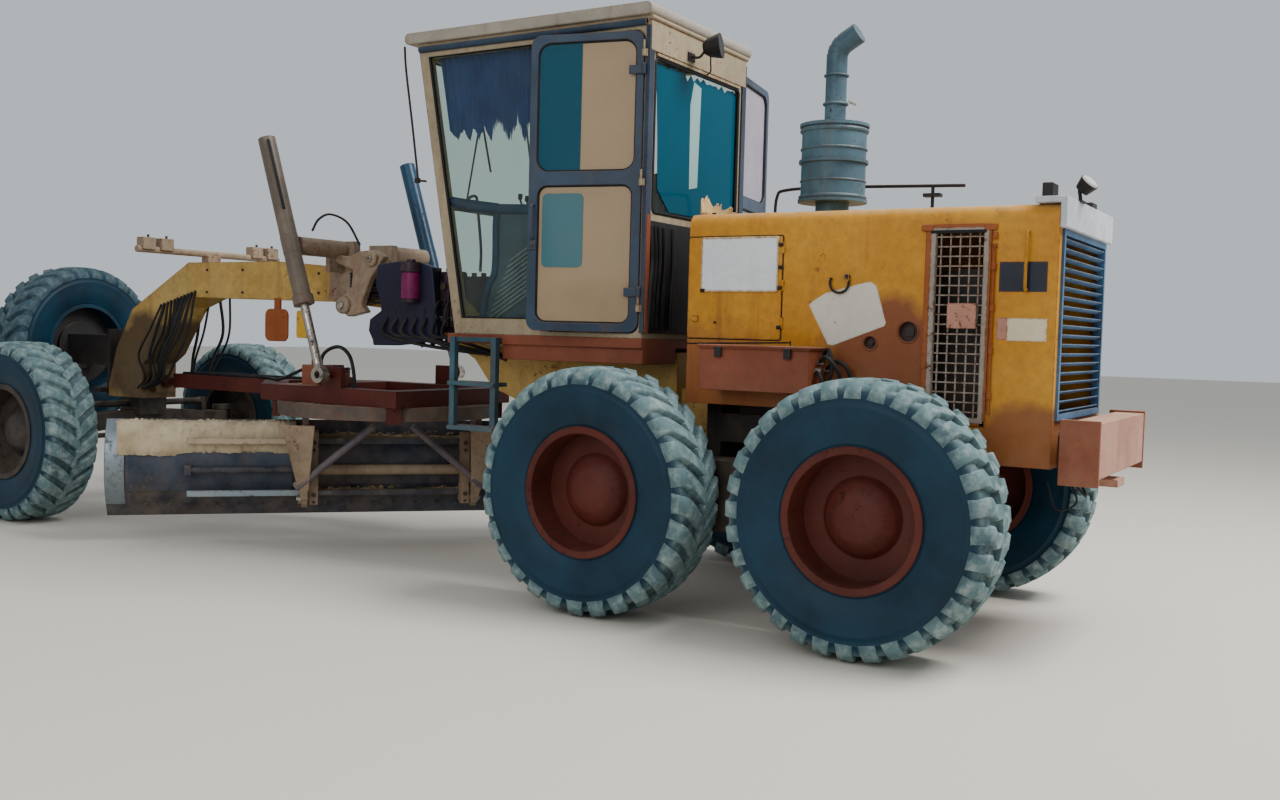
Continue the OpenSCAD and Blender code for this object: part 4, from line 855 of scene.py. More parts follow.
class GRADER_OT_cab(bpy.types.Operator):
    """Makes the cab's seals, window film, header, gutters, work lamp, mirror stays and wiper"""
    bl_idname = "grader.cab"
    bl_label = "Cab"

    def execute(self, context):
        slope = math.hypot(FRONT_LEAN, FRONT_HIGH - FRONT_LOW) / (FRONT_HIGH - FRONT_LOW)
        side_loop = [(1.53, 1.6), (front_x(1.6) - 0.08, 1.6), (front_x(3.22) - 0.08, 3.22), (1.53, 3.22)]
        front_loops = [rounded(-0.52, (low - FRONT_LOW) * slope, 0.52, (high - FRONT_LOW) * slope, 0.03)
                       for low, high in ((1.6, 2.29), (2.35, 3.22))]
        rear_loop = rounded(-0.52, 2.22, 0.52, 3.09, 0.03)
        seals = [(add_hoop, rear_loop, across(CAB_REAR + 0.004), 0.012)]
        for sign in (1, -1):
            seals.append((add_hoop, side_loop, upright(sign * (CAB_HALF - 0.004)), 0.012))
        for loop in front_loops:
            seals.append((add_hoop, loop, front_plane(0.004), 0.012))
        several("cab_seals", "cab_shell", "seal", seals)
        torn_top = ragged(0.515, -0.515, 3.08, 0.05, 26, 3)
        torn_foot = [(-0.52, 2.3), (-0.4, 2.24), (0.3, 2.24), (0.44, 2.36), (0.45, 2.62), (0.47, 2.9)]
        several("rear_window_film", "cab_glass", "film", [
            (add_plate, torn_top + torn_foot, 0.002, across(CAB_REAR + 0.017))])
        # A pale strip on the rear window's film is a painted highlight
        several("rear_window_film_highlight", "cab_glass", "film_highlight", [
            (add_plate, [(0.07, 2.4), (-0.03, 2.42), (-0.05, 3.02), (0.04, 3.04), (0.08, 2.9)], 0.001,
             across(CAB_REAR + 0.0145))])
        # Header over the rear window, gutter under the roof, and the navy strip over the doors
        several("cab_header", "cab_shell", "cream", [
            (add_plate, rounded(-0.59, 3.12, 0.59, 3.3, 0.01), 0.014, across(CAB_REAR - 0.006)),
            (add_rod, at(CAB_REAR - 0.012, -0.6, 3.3), at(CAB_REAR - 0.012, 0.6, 3.3), 0.014)], 0.004)
        strip = []
        for sign in (1, -1):
            rail_y, post_y = sign * 0.606, sign * 0.601
            strip += [(add_rod, at(CAB_REAR + 0.01, rail_y, 3.272), at(2.43, rail_y, 3.272), 0.02),
                      (add_rod, at(1.5, post_y, 1.56), at(1.5, post_y, 3.26), 0.018),
                      (add_block, at(CAB_REAR - 0.012, sign * 0.552, 1.53),
                       at(CAB_REAR + 0.016, sign * 0.603, 3.255))]
        several("cab_gutters", "cab_shell", "navy", strip)
        # Work lamp on its stay at the rear header, and the bent stay of the lost one
        several("cab_work_lamp", "cab_shell", "dark", [
            (add_rod, at(0.63, 0.12, 3.215), at(0.555, 0.1, 3.225), 0.055, 20, 0.075),
            (add_rod, at(0.66, 0.13, 3.21), at(0.63, 0.12, 3.215), 0.03, 20, 0.055),
            (add_hose, [at(0.735, 0.14, 3.17), at(0.68, 0.14, 3.16), at(0.645, 0.13, 3.2)], 0.008, 10),
            (add_hose, [at(0.735, -0.06, 3.1), at(0.71, -0.06, 3.12), at(0.69, -0.02, 3.17),
                        at(0.68, 0.0, 3.22)], 0.005, 10),
            (add_block, at(0.728, 0.1, 3.14), at(0.742, 0.18, 3.19))], 0.002)
        # Stays of the lost mirrors at both front corners
        stays = []
        for sign in (1, -1):
            y = sign * 0.62
            stays.append((add_hose, [
                at(2.545, y, 3.3), at(2.53, y, 3.15), at(2.47, y, 2.8), at(2.417, y, 2.47)], 0.007, 10))
            stays.append((add_tube, curve_through([
                at(2.417, y, 2.47), at(2.4, y, 2.455), at(2.36, y * 0.975, 2.45)], 4), 0.007))
            stays.append((add_block, at(2.405, y - 0.012, 2.44), at(2.435, y + 0.012, 2.47)))
        several("mirror_stays", "cab_shell", "dark", stays)
        # The wiper's arm, blade and pivot: depth and place of each end, and radius
        wiper = ((-0.03, (0.3, 0.82, 0.0), -0.03, (0.02, 1.45, 0.0), 0.006),
                 (-0.014, (0.0, 1.1, 0.0), -0.014, (0.04, 1.72, 0.0), 0.007),
                 (0.01, (0.3, 0.82, 0.0), -0.04, (0.3, 0.82, 0.0), 0.018))
        several("wiper", "cab_shell", "dark", [
            (add_rod, front_plane(near) @ Vector(start), front_plane(far) @ Vector(end), radius)
            for near, start, far, end, radius in wiper])
        return {"FINISHED"}


def add_cushion(bm, low, high, ribs, along):
    """Foam that crowns between its edges, with sewn channels across the axis of that number."""
    edge_give, channel_depth = 0.1, 0.012
    add_block(bm, low, high)
    bmesh.ops.subdivide_edges(bm, edges=bm.edges, cuts=23, use_grid_fill=True)
    core, size = (low + high) / 2, high - low
    face = 2 if along == 0 else 0
    for vert in bm.verts:
        share = [2 * (vert.co[k] - core[k]) / size[k] for k in range(3)]
        for k in range(3):
            crown = 1.0 - edge_give * sum(abs(share[j]) ** 4 for j in range(3) if j != k)
            vert.co[k] = core[k] + (vert.co[k] - core[k]) * crown
        if share[face] > 0.98:
            channel = abs(math.sin(math.pi * ribs * (share[along] + 1) / 2)) ** 0.35
            vert.co[face] -= channel_depth * (1 - channel)


class GRADER_OT_cab_inside(bpy.types.Operator):
    """Makes the ribbed seat, dash rail, side console, steering wheel and levers"""
    bl_idname = "grader.cab_inside"
    bl_label = "Cab inside"

    def execute(self, context):
        for name, low, high, ribs, along in (
                ("seat_cushion", at(0.91, -0.245, 1.775), at(1.4, 0.245, 1.9), 6, 0),
                ("seat_back", at(0.865, -0.245, 1.905), at(0.985, 0.245, 2.5), 8, 2)):
            bm = bmesh.new()
            add_cushion(bm, low, high, ribs, along)
            cushion = piece(name, bm, "seat", "vinyl", ("seat",), 0.0, 60.0)
        several("seat_pedestal", "seat", "dark", [
            (add_rod, at(1.15, 0.0, 1.5), at(1.15, 0.0, 1.56), 0.2, 32, 0.16),
            (add_rod, at(1.15, 0.0, 1.56), at(1.15, 0.0, 1.7), 0.11, 32),
            (add_rod, at(1.15, 0.0, 1.7), at(1.15, 0.0, 1.772), 0.13, 32, 0.19),
            (add_block, at(0.93, -0.2, 1.745), at(1.38, 0.2, 1.772)),
            *[(add_hose, [at(0.93, y, 1.75), at(0.865, y, 1.8), at(0.86, y, 2.0)], 0.014, 10)
              for y in (-0.15, 0.15)],
            (add_block, at(0.845, -0.22, 1.95), at(0.868, 0.22, 2.46))], 0.006, ("seat",))
        # Dash rail under the windscreen, with the leg that comes down to the floor
        several("dash_rail", "console", "dash", [
            (add_hose, [at(1.56, 0.4, 2.27), at(1.94, 0.4, 2.285), at(2.14, 0.39, 2.3),
                        at(2.2, 0.22, 2.305), at(2.21, 0.0, 2.305), at(2.2, -0.22, 2.305),
                        at(2.14, -0.39, 2.3), at(1.56, -0.4, 2.27)], 0.032, 12),
            (add_hose, [at(1.94, 0.4, 2.28), at(1.955, 0.4, 2.2), at(1.957, 0.4, 1.9),
                        at(2.01, 0.4, 1.79), at(2.07, 0.4, 1.505)], 0.026, 12),
            (add_hose, [at(1.94, 0.41, 2.285), at(2.07, 0.49, 2.3), at(2.2, 0.555, 2.32)], 0.036, 12)])
        # Side console behind the leg, with its ribbed cover low down
        panel = [(1.94, 2.28), (1.56, 2.27), (1.56, 1.505), (2.065, 1.505), (2.008, 1.79), (1.955, 1.9)]
        several("side_console", "console", "plastic", [
            (add_plate, panel, 0.03, upright(0.39))], 0.004)
        ribs = []
        for k in range(11):
            share = k / 10
            x, z = 2.01 - 0.18 * share, 1.56 + 0.4 * share
            top = min(2.235, z + 0.6 * (x - 1.575))
            ribs.append((add_rod, at(x, 0.412, z), at(1.575, 0.412, top), 0.009, 8))
        # The ribs are drawn light grey as a painted highlight
        several("side_console_ribs", "console", "ribbing_painted_highlight", ribs)
        wheel = Matrix.Translation(at(1.64, 0.0, 2.28)) @ Matrix.Rotation(math.radians(-28), 4, "Y")
        ring = [(0.2 * c, 0.2 * s) for c, s in circle(40)]
        spokes = [(add_rod, wheel.translation, wheel @ Vector((0.19 * c, 0.19 * s, 0.0)), 0.009)
                  for c, s in circle(3)]
        levers = []
        for sign in (1, -1):
            for k in range(6):
                x, y = 1.735 + 0.028 * k, sign * (0.135 + 0.035 * k)
                neck, knob = at(x - 0.03, y, 2.3 + 0.01 * k), at(x - 0.034, y, 2.335 + 0.01 * k)
                levers += [(add_rod, at(x, sign * 0.1, 2.12), neck, 0.006), (add_rod, neck, knob, 0.014)]
        several("steering_wheel_and_levers", "console", "seal", [
            (add_hoop, ring, wheel, 0.014), *spokes, *levers,
            (add_rod, wheel @ Vector((0, 0, -0.14)), wheel @ Vector((0, 0, 0.02)), 0.028)])
        return {"FINISHED"}


class GRADER_OT_curtain(bpy.types.Operator):
    """Hangs the gathered curtain with its torn hem behind the left side window"""
    bl_idname = "grader.curtain"
    bl_label = "Curtain"

    def execute(self, context):
        low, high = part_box("curtain")
        rng = random.Random(11)
        across_count, down_count = 180, 48
        start, middle_y, top = low.x + 0.005, (low.y + high.y) / 2, high.z - 0.004
        deep = (high.y - low.y) / 2 - 0.002
        longest_drop, pillar_depth = 0.66, 0.115
        bm = bmesh.new()
        grid = []
        for i in range(across_count + 1):
            u = i / across_count
            # Teeth about 0.12 m apart, and towards the door a fringe of loose threads between them
            notch = 1 - abs(2 * ((6.3 * u + 0.25 * math.sin(9 * u)) % 1.0) - 1)
            fray = (0.07 if i % 3 and u < 0.5 else 0.015) * rng.random()
            drop = longest_drop - 0.06 * u - 0.12 * notch * (0.75 + 0.25 * math.sin(5 * u)) - fray
            column = []
            for j in range(down_count + 1):
                v = j / down_count
                fold = math.sin(u * 2 * math.pi * 13 + 0.6 * math.sin(3 * u + 2 * v)) * (1.0 - 0.35 * v)
                y = middle_y + deep * 0.9 * fold
                z = top - drop * v
                reach = front_x(z) + TANDEM_X - pillar_depth - start
                column.append(bm.verts.new((start + reach * u, y, z)))
            grid.append(column)
        add_sheet(bm, grid)
        area = sum(face.calc_area() for face in bm.faces)
        cloth = piece("curtain_cloth", bm, "curtain", "curtain", ("curtain",), 0.0, 180.0)
        thick = cloth.modifiers.new("cloth thickness", "SOLIDIFY")
        thick.thickness = 0.0012
        rail = several("curtain_rail", "curtain", "chrome", [
            (add_rod, Vector((low.x, middle_y, high.z - 0.006)),
             Vector((high.x + 0.1, middle_y, high.z - 0.006)), 0.005)])
        return {"FINISHED"}


# The blade's own frame: X ahead and Y along the blade, and the middle and radius of its curved back
BLADE_TURN = -43.0
BLADE = Matrix.Translation(at(3.2, 0.0, 0.0)) @ Matrix.Rotation(math.radians(BLADE_TURN), 4, "Z")
BACK_X, BACK_Z, BACK_R = 0.3957, 0.5497, 0.435


def along_blade(x, y, z):
    """A point given in the blade's own frame."""
    return BLADE @ Vector((x, y, z))


def add_skin(bm, start, end, low, high, thick, steps=10):
    """A curved plate on the blade's back, between two places along it and two angles in degrees."""
    rings = []
    for y in (start, end):
        ring = []
        for r, order in ((BACK_R - 0.002, range(steps + 1)), (BACK_R + thick, range(steps, -1, -1))):
            for i in order:
                a = math.radians(low + (high - low) * i / steps)
                x, z = BACK_X - r * math.cos(a), BACK_Z + r * math.sin(a)
                ring.append(bm.verts.new(along_blade(x, y, z)))
        rings.append(ring)
    join(bm, rings, "open")
    for ring in rings:
        for i in range(steps):
            bm.faces.new((ring[i], ring[i + 1], ring[-2 - i], ring[-1 - i]))


def add_bank(bm, thin, thick, start, change, end, rough, seed):
    """Caked soil along the blade: a section in X and Z from thin to thick, with clods on its face."""
    rng = random.Random(seed)
    count = int((end - start) / 0.009)
    last = len(thin) - 3
    rings = []
    for i in range(count + 1):
        y = start + (end - start) * i / count
        share = min(1.0, max(0.0, (y - change) / 0.1))
        tail = min(1.0, (end - y) / 0.06 + 0.2, (y - start) / 0.06 + 0.2)
        ring = []
        for k, (a, b) in enumerate(zip(thin, thick)):
            free = rough if 0 < k < last else 0.0
            x = a[0] + (b[0] - a[0]) * share
            z = a[1] + (b[1] - a[1]) * share
            broad = noise.noise(Vector((y * 5.0, k * 0.7, seed)))
            fine = noise.noise(Vector((y * 31.0, k * 2.9, seed + 9.0)))
            inward = free * (1.0 - tail) * 1.5 + free * abs(0.7 * broad + 0.6 * fine)
            lift = free * (0.5 * broad + 0.5 * fine - 0.3)
            ring.append(bm.verts.new(along_blade(x + inward, y, z + lift)))
        rings.append(ring)
    join(bm, rings)
    ahead, origin = along_blade(0.006, 0.0, 0.0), along_blade(0.0, 0.0, 0.0)
    for _ in range(int(260 * (end - start))):
        ring = rings[int(rng.random() * len(rings))]
        k = 1 + int(rng.random() * (last - 1))
        spot = ring[k].co.lerp(ring[k + 1].co, rng.random()) + ahead - origin
        bmesh.ops.create_icosphere(bm, subdivisions=1, radius=0.004 + 0.01 * rng.random() ** 2,
                                   matrix=Matrix.Translation(spot))


def add_wedge(bm, corners, thick):
    """A plate between corners, with its thickness as a vector."""
    join(bm, [[bm.verts.new(point + move) for point in corners] for move in (Vector(), thick)])


def add_heap(bm, place, length, width, height, count, seed):
    """A long heap of crumbly soil on a ledge: its section is a rough arch, with clods on it."""
    rng = random.Random(seed)
    rings = []
    for i in range(count + 1):
        y = length * i / count
        swell = 0.65 + 0.5 * noise.noise(Vector((y * 3.0, seed, 0.0)))
        ring = []
        for k in range(9):
            a = math.pi * k / 8
            rough = 1.0 + 0.22 * noise.noise(Vector((y * 18.0, k * 1.7, seed)))
            ring.append(bm.verts.new(place @ Vector((
                width / 2 * (1 - math.cos(a)), y, height * swell * rough * math.sin(a) ** 0.6))))
        rings.append(ring)
    join(bm, rings)
    for _ in range(int(40 * length)):
        size = 0.006 + 0.014 * rng.random()
        spot = Vector((width * (0.2 + 0.6 * rng.random()), length * rng.random(),
                       height * (0.4 + 0.5 * rng.random())))
        bmesh.ops.create_icosphere(bm, subdivisions=1, radius=size, matrix=place @ Matrix.Translation(spot))


# Y of the hood's side, where seams lie half sunk
HOOD_FACE = 0.5505


class GRADER_OT_hood(bpy.types.Operator):
    """Makes the hood's seams, plates, hook, grille frame, rail and lip, and the tool boxes' lids"""
    bl_idname = "grader.hood"
    bl_label = "Hood"

    def execute(self, context):
        seams = []
        for face in (HOOD_FACE, -HOOD_FACE):
            seams += [(add_hoop, rounded(-0.093, 1.509, 0.479, 2.07, 0.012), upright(face), 0.003),
                      (add_hoop, rounded(-1.175, 1.116, -0.885, 2.104, 0.01), upright(face), 0.003),
                      (add_rod, at(-0.15, face, 1.15), at(-0.15, face, 1.51), 0.003),
                      # The dark rod under the side panel's lower edge is a painted shadow beneath that edge
                      (add_rod, at(0.478, face, 1.48), at(-0.15, face, 1.5), 0.004)]
        several("hood_seams_and_painted_shadow", "hood", "seal", seams)
        plates = (
            ("hood_sign", "hood", "plate", (-0.062, 1.775, 0.391, 2.058), 0.006, 0.004, 0.559),
            ("hood_dark_plate", "hood", "dark_plate", (-1.47, 1.776, -1.243, 1.92), 0.004, 0.003, 0.5515),
            ("hood_buff_plate", "hood", "buff_plate", (-1.478, 1.539, -1.29, 1.649), 0.003, 0.003, 0.5515),
            ("hood_pink_plate", "hood", "pink", (-1.29, 1.545, -1.24, 1.65), 0.003, 0.003, 0.5518),
            ("grille_tag", "side_grilles", "pink", (-1.14, 1.594, -0.996, 1.718), 0.006, 0.003, 0.566))
        for name, node, kind, corners, radius, thick, y in plates:
            several(name, node, kind, [(add_plate, rounded(*corners, radius), thick, upright(y))])
        several("hood_sign_frame", "hood", "lip", [
            (add_hoop, rounded(-0.066, 1.771, 0.395, 2.062, 0.008), upright(0.56), 0.005)])
        near_latches = ((-0.083, 2.02), (-0.083, 1.9), (-0.083, 1.79), (-0.083, 1.58), (0.385, 1.775))
        latches = [(add_block, at(x - 0.014, 0.556, z - 0.01), at(x + 0.014, 0.566, z + 0.01))
                   for x, z in near_latches]
        latches += [(add_block, at(x - 0.014, -0.562, z - 0.012), at(x + 0.014, -0.549, z + 0.012))
                    for x, z in ((-0.083, 2.02), (-0.083, 1.79), (-0.083, 1.58), (0.44, 1.9), (0.44, 1.66))]
        latches += [(add_rod, at(x, 0.564, z), at(x, 0.574, z), 0.007)
                    for x, z in ((-0.083, 2.02), (-0.083, 1.9), (-0.083, 1.58), (0.385, 1.775), (0.3, 1.6))]
        several("hood_latches", "hood", "dark", latches, 0.002)
        several("hood_patch", "hood", "patch", [
            (add_plate, [(-0.25, 1.7), (-0.262, 1.716), (-0.344, 1.765), (-0.56, 1.82), (-0.592, 1.822),
                         (-0.62, 1.8), (-0.676, 1.615), (-0.668, 1.598), (-0.39, 1.492), (-0.362, 1.498)],
             0.0012, upright(HOOD_FACE))])
        hook = [(0.052 * math.cos(a), 0.052 * math.sin(a)) for a in map(math.radians, range(150, 391, 20))]
        several("hood_hook", "hood", "dark", [
            (add_hose, [at(-0.421 - u, 0.564, 1.818 + v) for u, v in hook], 0.007),
            (add_rod, at(-0.466, 0.545, 1.85), at(-0.466, 0.58, 1.85), 0.011)])
        several("hood_hook_ring", "hood", "brass", [
            (add_hoop, [(-0.462 + 0.014 * c, 1.842 + 0.02 * s) for c, s in circle(12)],
             upright(0.576), 0.004)])
        holes = [(add_hoop, [(x + r * c, z + r * s) for c, s in circle(28)], upright(0.551), 0.005)
                 for x, z, r in ((-0.596, 1.51, 0.037), (-0.795, 1.571, 0.055))]
        several("hood_hole_rims", "hood", "brown", holes)
        # Dark discs with a small boss sunk in the two round holes: their black is painted shade inside the
        # holes
        several("hood_hole_shade_plugs", "hood", "cast", [
            (add_rod, at(-0.596, 0.515, 1.51), at(-0.596, 0.528, 1.51), 0.036, 24),
            (add_rod, at(-0.596, 0.528, 1.51), at(-0.596, 0.54, 1.51), 0.014, 6),
            (add_rod, at(-0.795, 0.505, 1.571), at(-0.795, 0.518, 1.571), 0.055, 24),
            (add_rod, at(-0.795, 0.518, 1.571), at(-0.795, 0.526, 1.571), 0.026, 20)], 0.002)
        # Grille's frame of flat bars on both sides, and its outer hinge rod on the left
        bars = []
        for sign in (1, -1):
            bars += [(add_block, at(x - 0.014, sign * 0.549, 1.115), at(x + 0.014, sign * 0.56, 2.105))
                     for x in (-0.886, -1.188)]
            bars += [(add_block, at(-1.2, sign * 0.549, z - 0.014), at(-0.872, sign * 0.56, z + 0.014))
                     for z in (1.129, 2.094)]
        bars.append((add_rod, at(-1.216, 0.56, 1.18), at(-1.216, 0.56, 2.01), 0.008))
        bars += [(add_rod, at(-1.216, 0.56, z), at(-1.216, 0.56, z + 0.035), 0.013)
                 for z in (1.25, 1.47, 1.68, 1.88, 2.03)]
        bars += [(add_block, at(x - 0.03, 0.555, 2.075), at(x + 0.03, 0.568, 2.105))
                 for x in (-0.88, -1.195)]
        several("grille_frame", "side_grilles", "orange", bars, 0.002)
        several("grille_shade", "side_grilles", "seal", [
            (add_block, at(-1.176, 0.556, 2.062), at(-0.898, 0.564, 2.078))], 0.002)
        several("hood_grab_bar", "hood", "yellow", [
            (add_hose, [at(-1.375, 0.55, 2.06), at(-1.375, 0.582, 2.055), at(-1.375, 0.586, 1.925),
                        at(-1.375, 0.582, 1.795), at(-1.375, 0.55, 1.785)], 0.008)])
        # Rail along the far edge of the hood's top, and the bent lip at its front
        several("hood_rail", "hood", "dark", [
            (add_hose, [at(0.46, -0.5, 2.205), at(0.45, -0.5, 2.4), at(0.38, -0.5, 2.445),
                        at(0.06, -0.5, 2.45), at(-0.55, -0.5, 2.435), at(-0.74, -0.5, 2.43)], 0.01),
            (add_rod, at(0.06, -0.5, 2.19), at(0.06, -0.5, 2.45), 0.01),
            (add_rod, at(-0.55, -0.5, 2.19), at(-0.55, -0.5, 2.44), 0.01),
            (add_block, at(0.01, -0.53, 2.385), at(0.11, -0.47, 2.405)),
            (add_block, at(-0.6, -0.53, 2.37), at(-0.5, -0.47, 2.39))])
        bm = bmesh.new()
        columns = []
        for i in range(33):
            y = 0.5 - 0.42 * i / 32
            rise = 0.05 + 0.07 * abs(noise.noise(Vector((i * 0.31, 2.0, 0.0)))) ** 0.7
            if i < 8:
                rise += 0.03
            lean = 0.05 * noise.noise(Vector((i * 0.22, 7.0, 0.0)))
            columns.append([bm.verts.new(at(0.44 + lean * j / 4, y, 2.196 + rise * j / 4))
                            for j in range(5)])
        add_sheet(bm, columns)
        lip = piece("hood_bent_lip", bm, "hood", "lip", (), 0.0, 60.0)
        thick = lip.modifiers.new("sheet thickness", "SOLIDIFY")
        thick.thickness = 0.004
        several("hood_lip_bolts", "hood", "dark", [
            (add_rod, at(0.4, y, 2.195), at(0.4, y, 2.215), 0.012, 6)
            for y in (0.42, 0.3, 0.18, -0.1, -0.3)])
        # The box at the hood's foot: lid, hinge and the hoses that come out at its end
        low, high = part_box("tool_boxes")
        several("tool_box_lids", "tool_boxes", "brown", [
            (add_block, Vector((low.x - 0.006, sign * 0.56, high.z - 0.008)),
             Vector((high.x + 0.006, sign * (high.y + 0.01), high.z + 0.006))) for sign in (1, -1)], 0.004)
        several("tool_box_hasps", "tool_boxes", "dark", [
            (add_block, Vector((x - 0.02, high.y + 0.001, high.z - 0.06)),
             Vector((x + 0.02, high.y + 0.014, high.z - 0.004)))
            for x in (low.x + 0.12, high.x - 0.12)], 0.003)
        knot = [[(0.0, 0.6, 1.44), (-0.05, 0.66, 1.47), (-0.08, 0.68, 1.38), (-0.05, 0.66, 1.26)],
                [(0.0, 0.66, 1.4), (-0.06, 0.7, 1.43), (-0.12, 0.67, 1.34), (-0.1, 0.62, 1.22)],
                [(0.0, 0.7, 1.36), (-0.04, 0.73, 1.33), (-0.05, 0.72, 1.27), (-0.02, 0.68, 1.2)],
                [(0.0, 0.57, 1.36), (-0.07, 0.6, 1.41), (-0.14, 0.6, 1.36), (-0.15, 0.58, 1.2)]]
        several("tool_box_hoses", "tool_boxes", "hose", [
            (add_hose, [Vector((low.x + x, y, z)) for x, y, z in run], 0.011) for run in knot])
        several("tool_box_fittings", "tool_boxes", "chrome", [
            (add_rod, Vector((low.x + run[0][0] - 0.03, run[0][1], run[0][2])),
             Vector((low.x + run[0][0] + 0.004, run[0][1], run[0][2])), 0.016, 6) for run in knot])
        return {"FINISHED"}


class GRADER_OT_rear(bpy.types.Operator):
    """Makes the small things at the rear: silencer bands, cap lamp, bumper edges and the cab's back with
    its plate of painted shade
    """
    bl_idname = "grader.rear"
    bl_label = "Rear"

    def execute(self, context):
        # The silencer's axis, and the radii over its drum and over its pipe
        x, y, _ = at(-0.11, -0.05, 0.0)
        drum, pipe = 0.183, 0.066
        rings = [(add_hoop, [(r * c, r * s) for c, s in circle(40)], Matrix.Translation((x, y, z)), thick)
                 for r, z, thick in ((drum, 2.33, 0.012), (drum, 2.42, 0.006), (drum, 2.6, 0.008),
                                     (drum, 2.705, 0.013), (pipe, 2.86, 0.008), (pipe, 3.02, 0.006))]
        several("silencer_bands", "silencer", "silencer", rings)
        several("silencer_clamp", "silencer", "chrome", [
            (add_rod, Vector((x - 0.1, y + 0.05, 2.86)), Vector((x - 0.1, y - 0.05, 2.86)), 0.008, 6)])
        several("cap_lamp", "rear_lamps", "dark", [
            (add_rod, at(-1.545, 0.25, 2.225), at(-1.535, 0.25, 2.29), 0.009),
            (add_rod, at(-1.545, 0.25, 2.285), at(-1.585, 0.262, 2.325), 0.035, 20, 0.05),
            (add_block, at(-1.56, 0.2, 2.225), at(-1.5, 0.3, 2.236))], 0.002)
        several("cap_lamp_glass", "rear_lamps", "lens", [
            (add_rod, at(-1.583, 0.2615, 2.323), at(-1.59, 0.2635, 2.33), 0.046, 20, 0.04)])
        low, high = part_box("bumper")
        several("bumper_ends", "bumper", "brown", [
            (add_block, Vector((low.x - 0.004, sign * high.y - 0.012, high.z - 0.3)),
             Vector((high.x + 0.03, sign * high.y + 0.012, high.z + 0.012)))
            for sign in (1, -1)], 0.004)
        several("bumper_wires", "bumper", "hose", [
            (add_hose, [at(-1.6, 0.45, 0.88), at(-1.66, 0.4, 0.8), at(-1.62, 0.3, 0.84),
                        at(-1.58, 0.22, 0.9)], 0.006),
            (add_hose, [at(-1.58, 0.48, 0.92), at(-1.64, 0.5, 0.78), at(-1.55, 0.52, 0.74),
                        at(-1.5, 0.5, 0.86)], 0.005)])
        # Below its window the cab's back is a dark plate, painted shade of the gap between cab and hood,
        # with hoses before it
        several("cab_back_shade_plate", "cab_shell", "dark", [
            (add_plate, rounded(-0.57, 1.53, 0.57, 2.17, 0.02), 0.01, across(CAB_REAR - 0.004))], 0.003)
        several("cab_back_hoses", "cab_shell", "hose", [
            (add_hose, [at(0.738, y, 1.55), at(0.728, y + 0.01, 1.75), at(0.73, y - 0.01, 1.95),
                        at(0.738, y, 2.14)], 0.012)
            for y in (0.545, 0.505, 0.46, 0.4, 0.3)])
        several("cab_back_strip", "cab_shell", "brown", [
            (add_block, at(0.735, 0.552, 1.53), at(0.752, 0.592, 2.2))], 0.003)
        return {"FINISHED"}


# Y of the main beam's side
BEAM_SIDE = 0.158


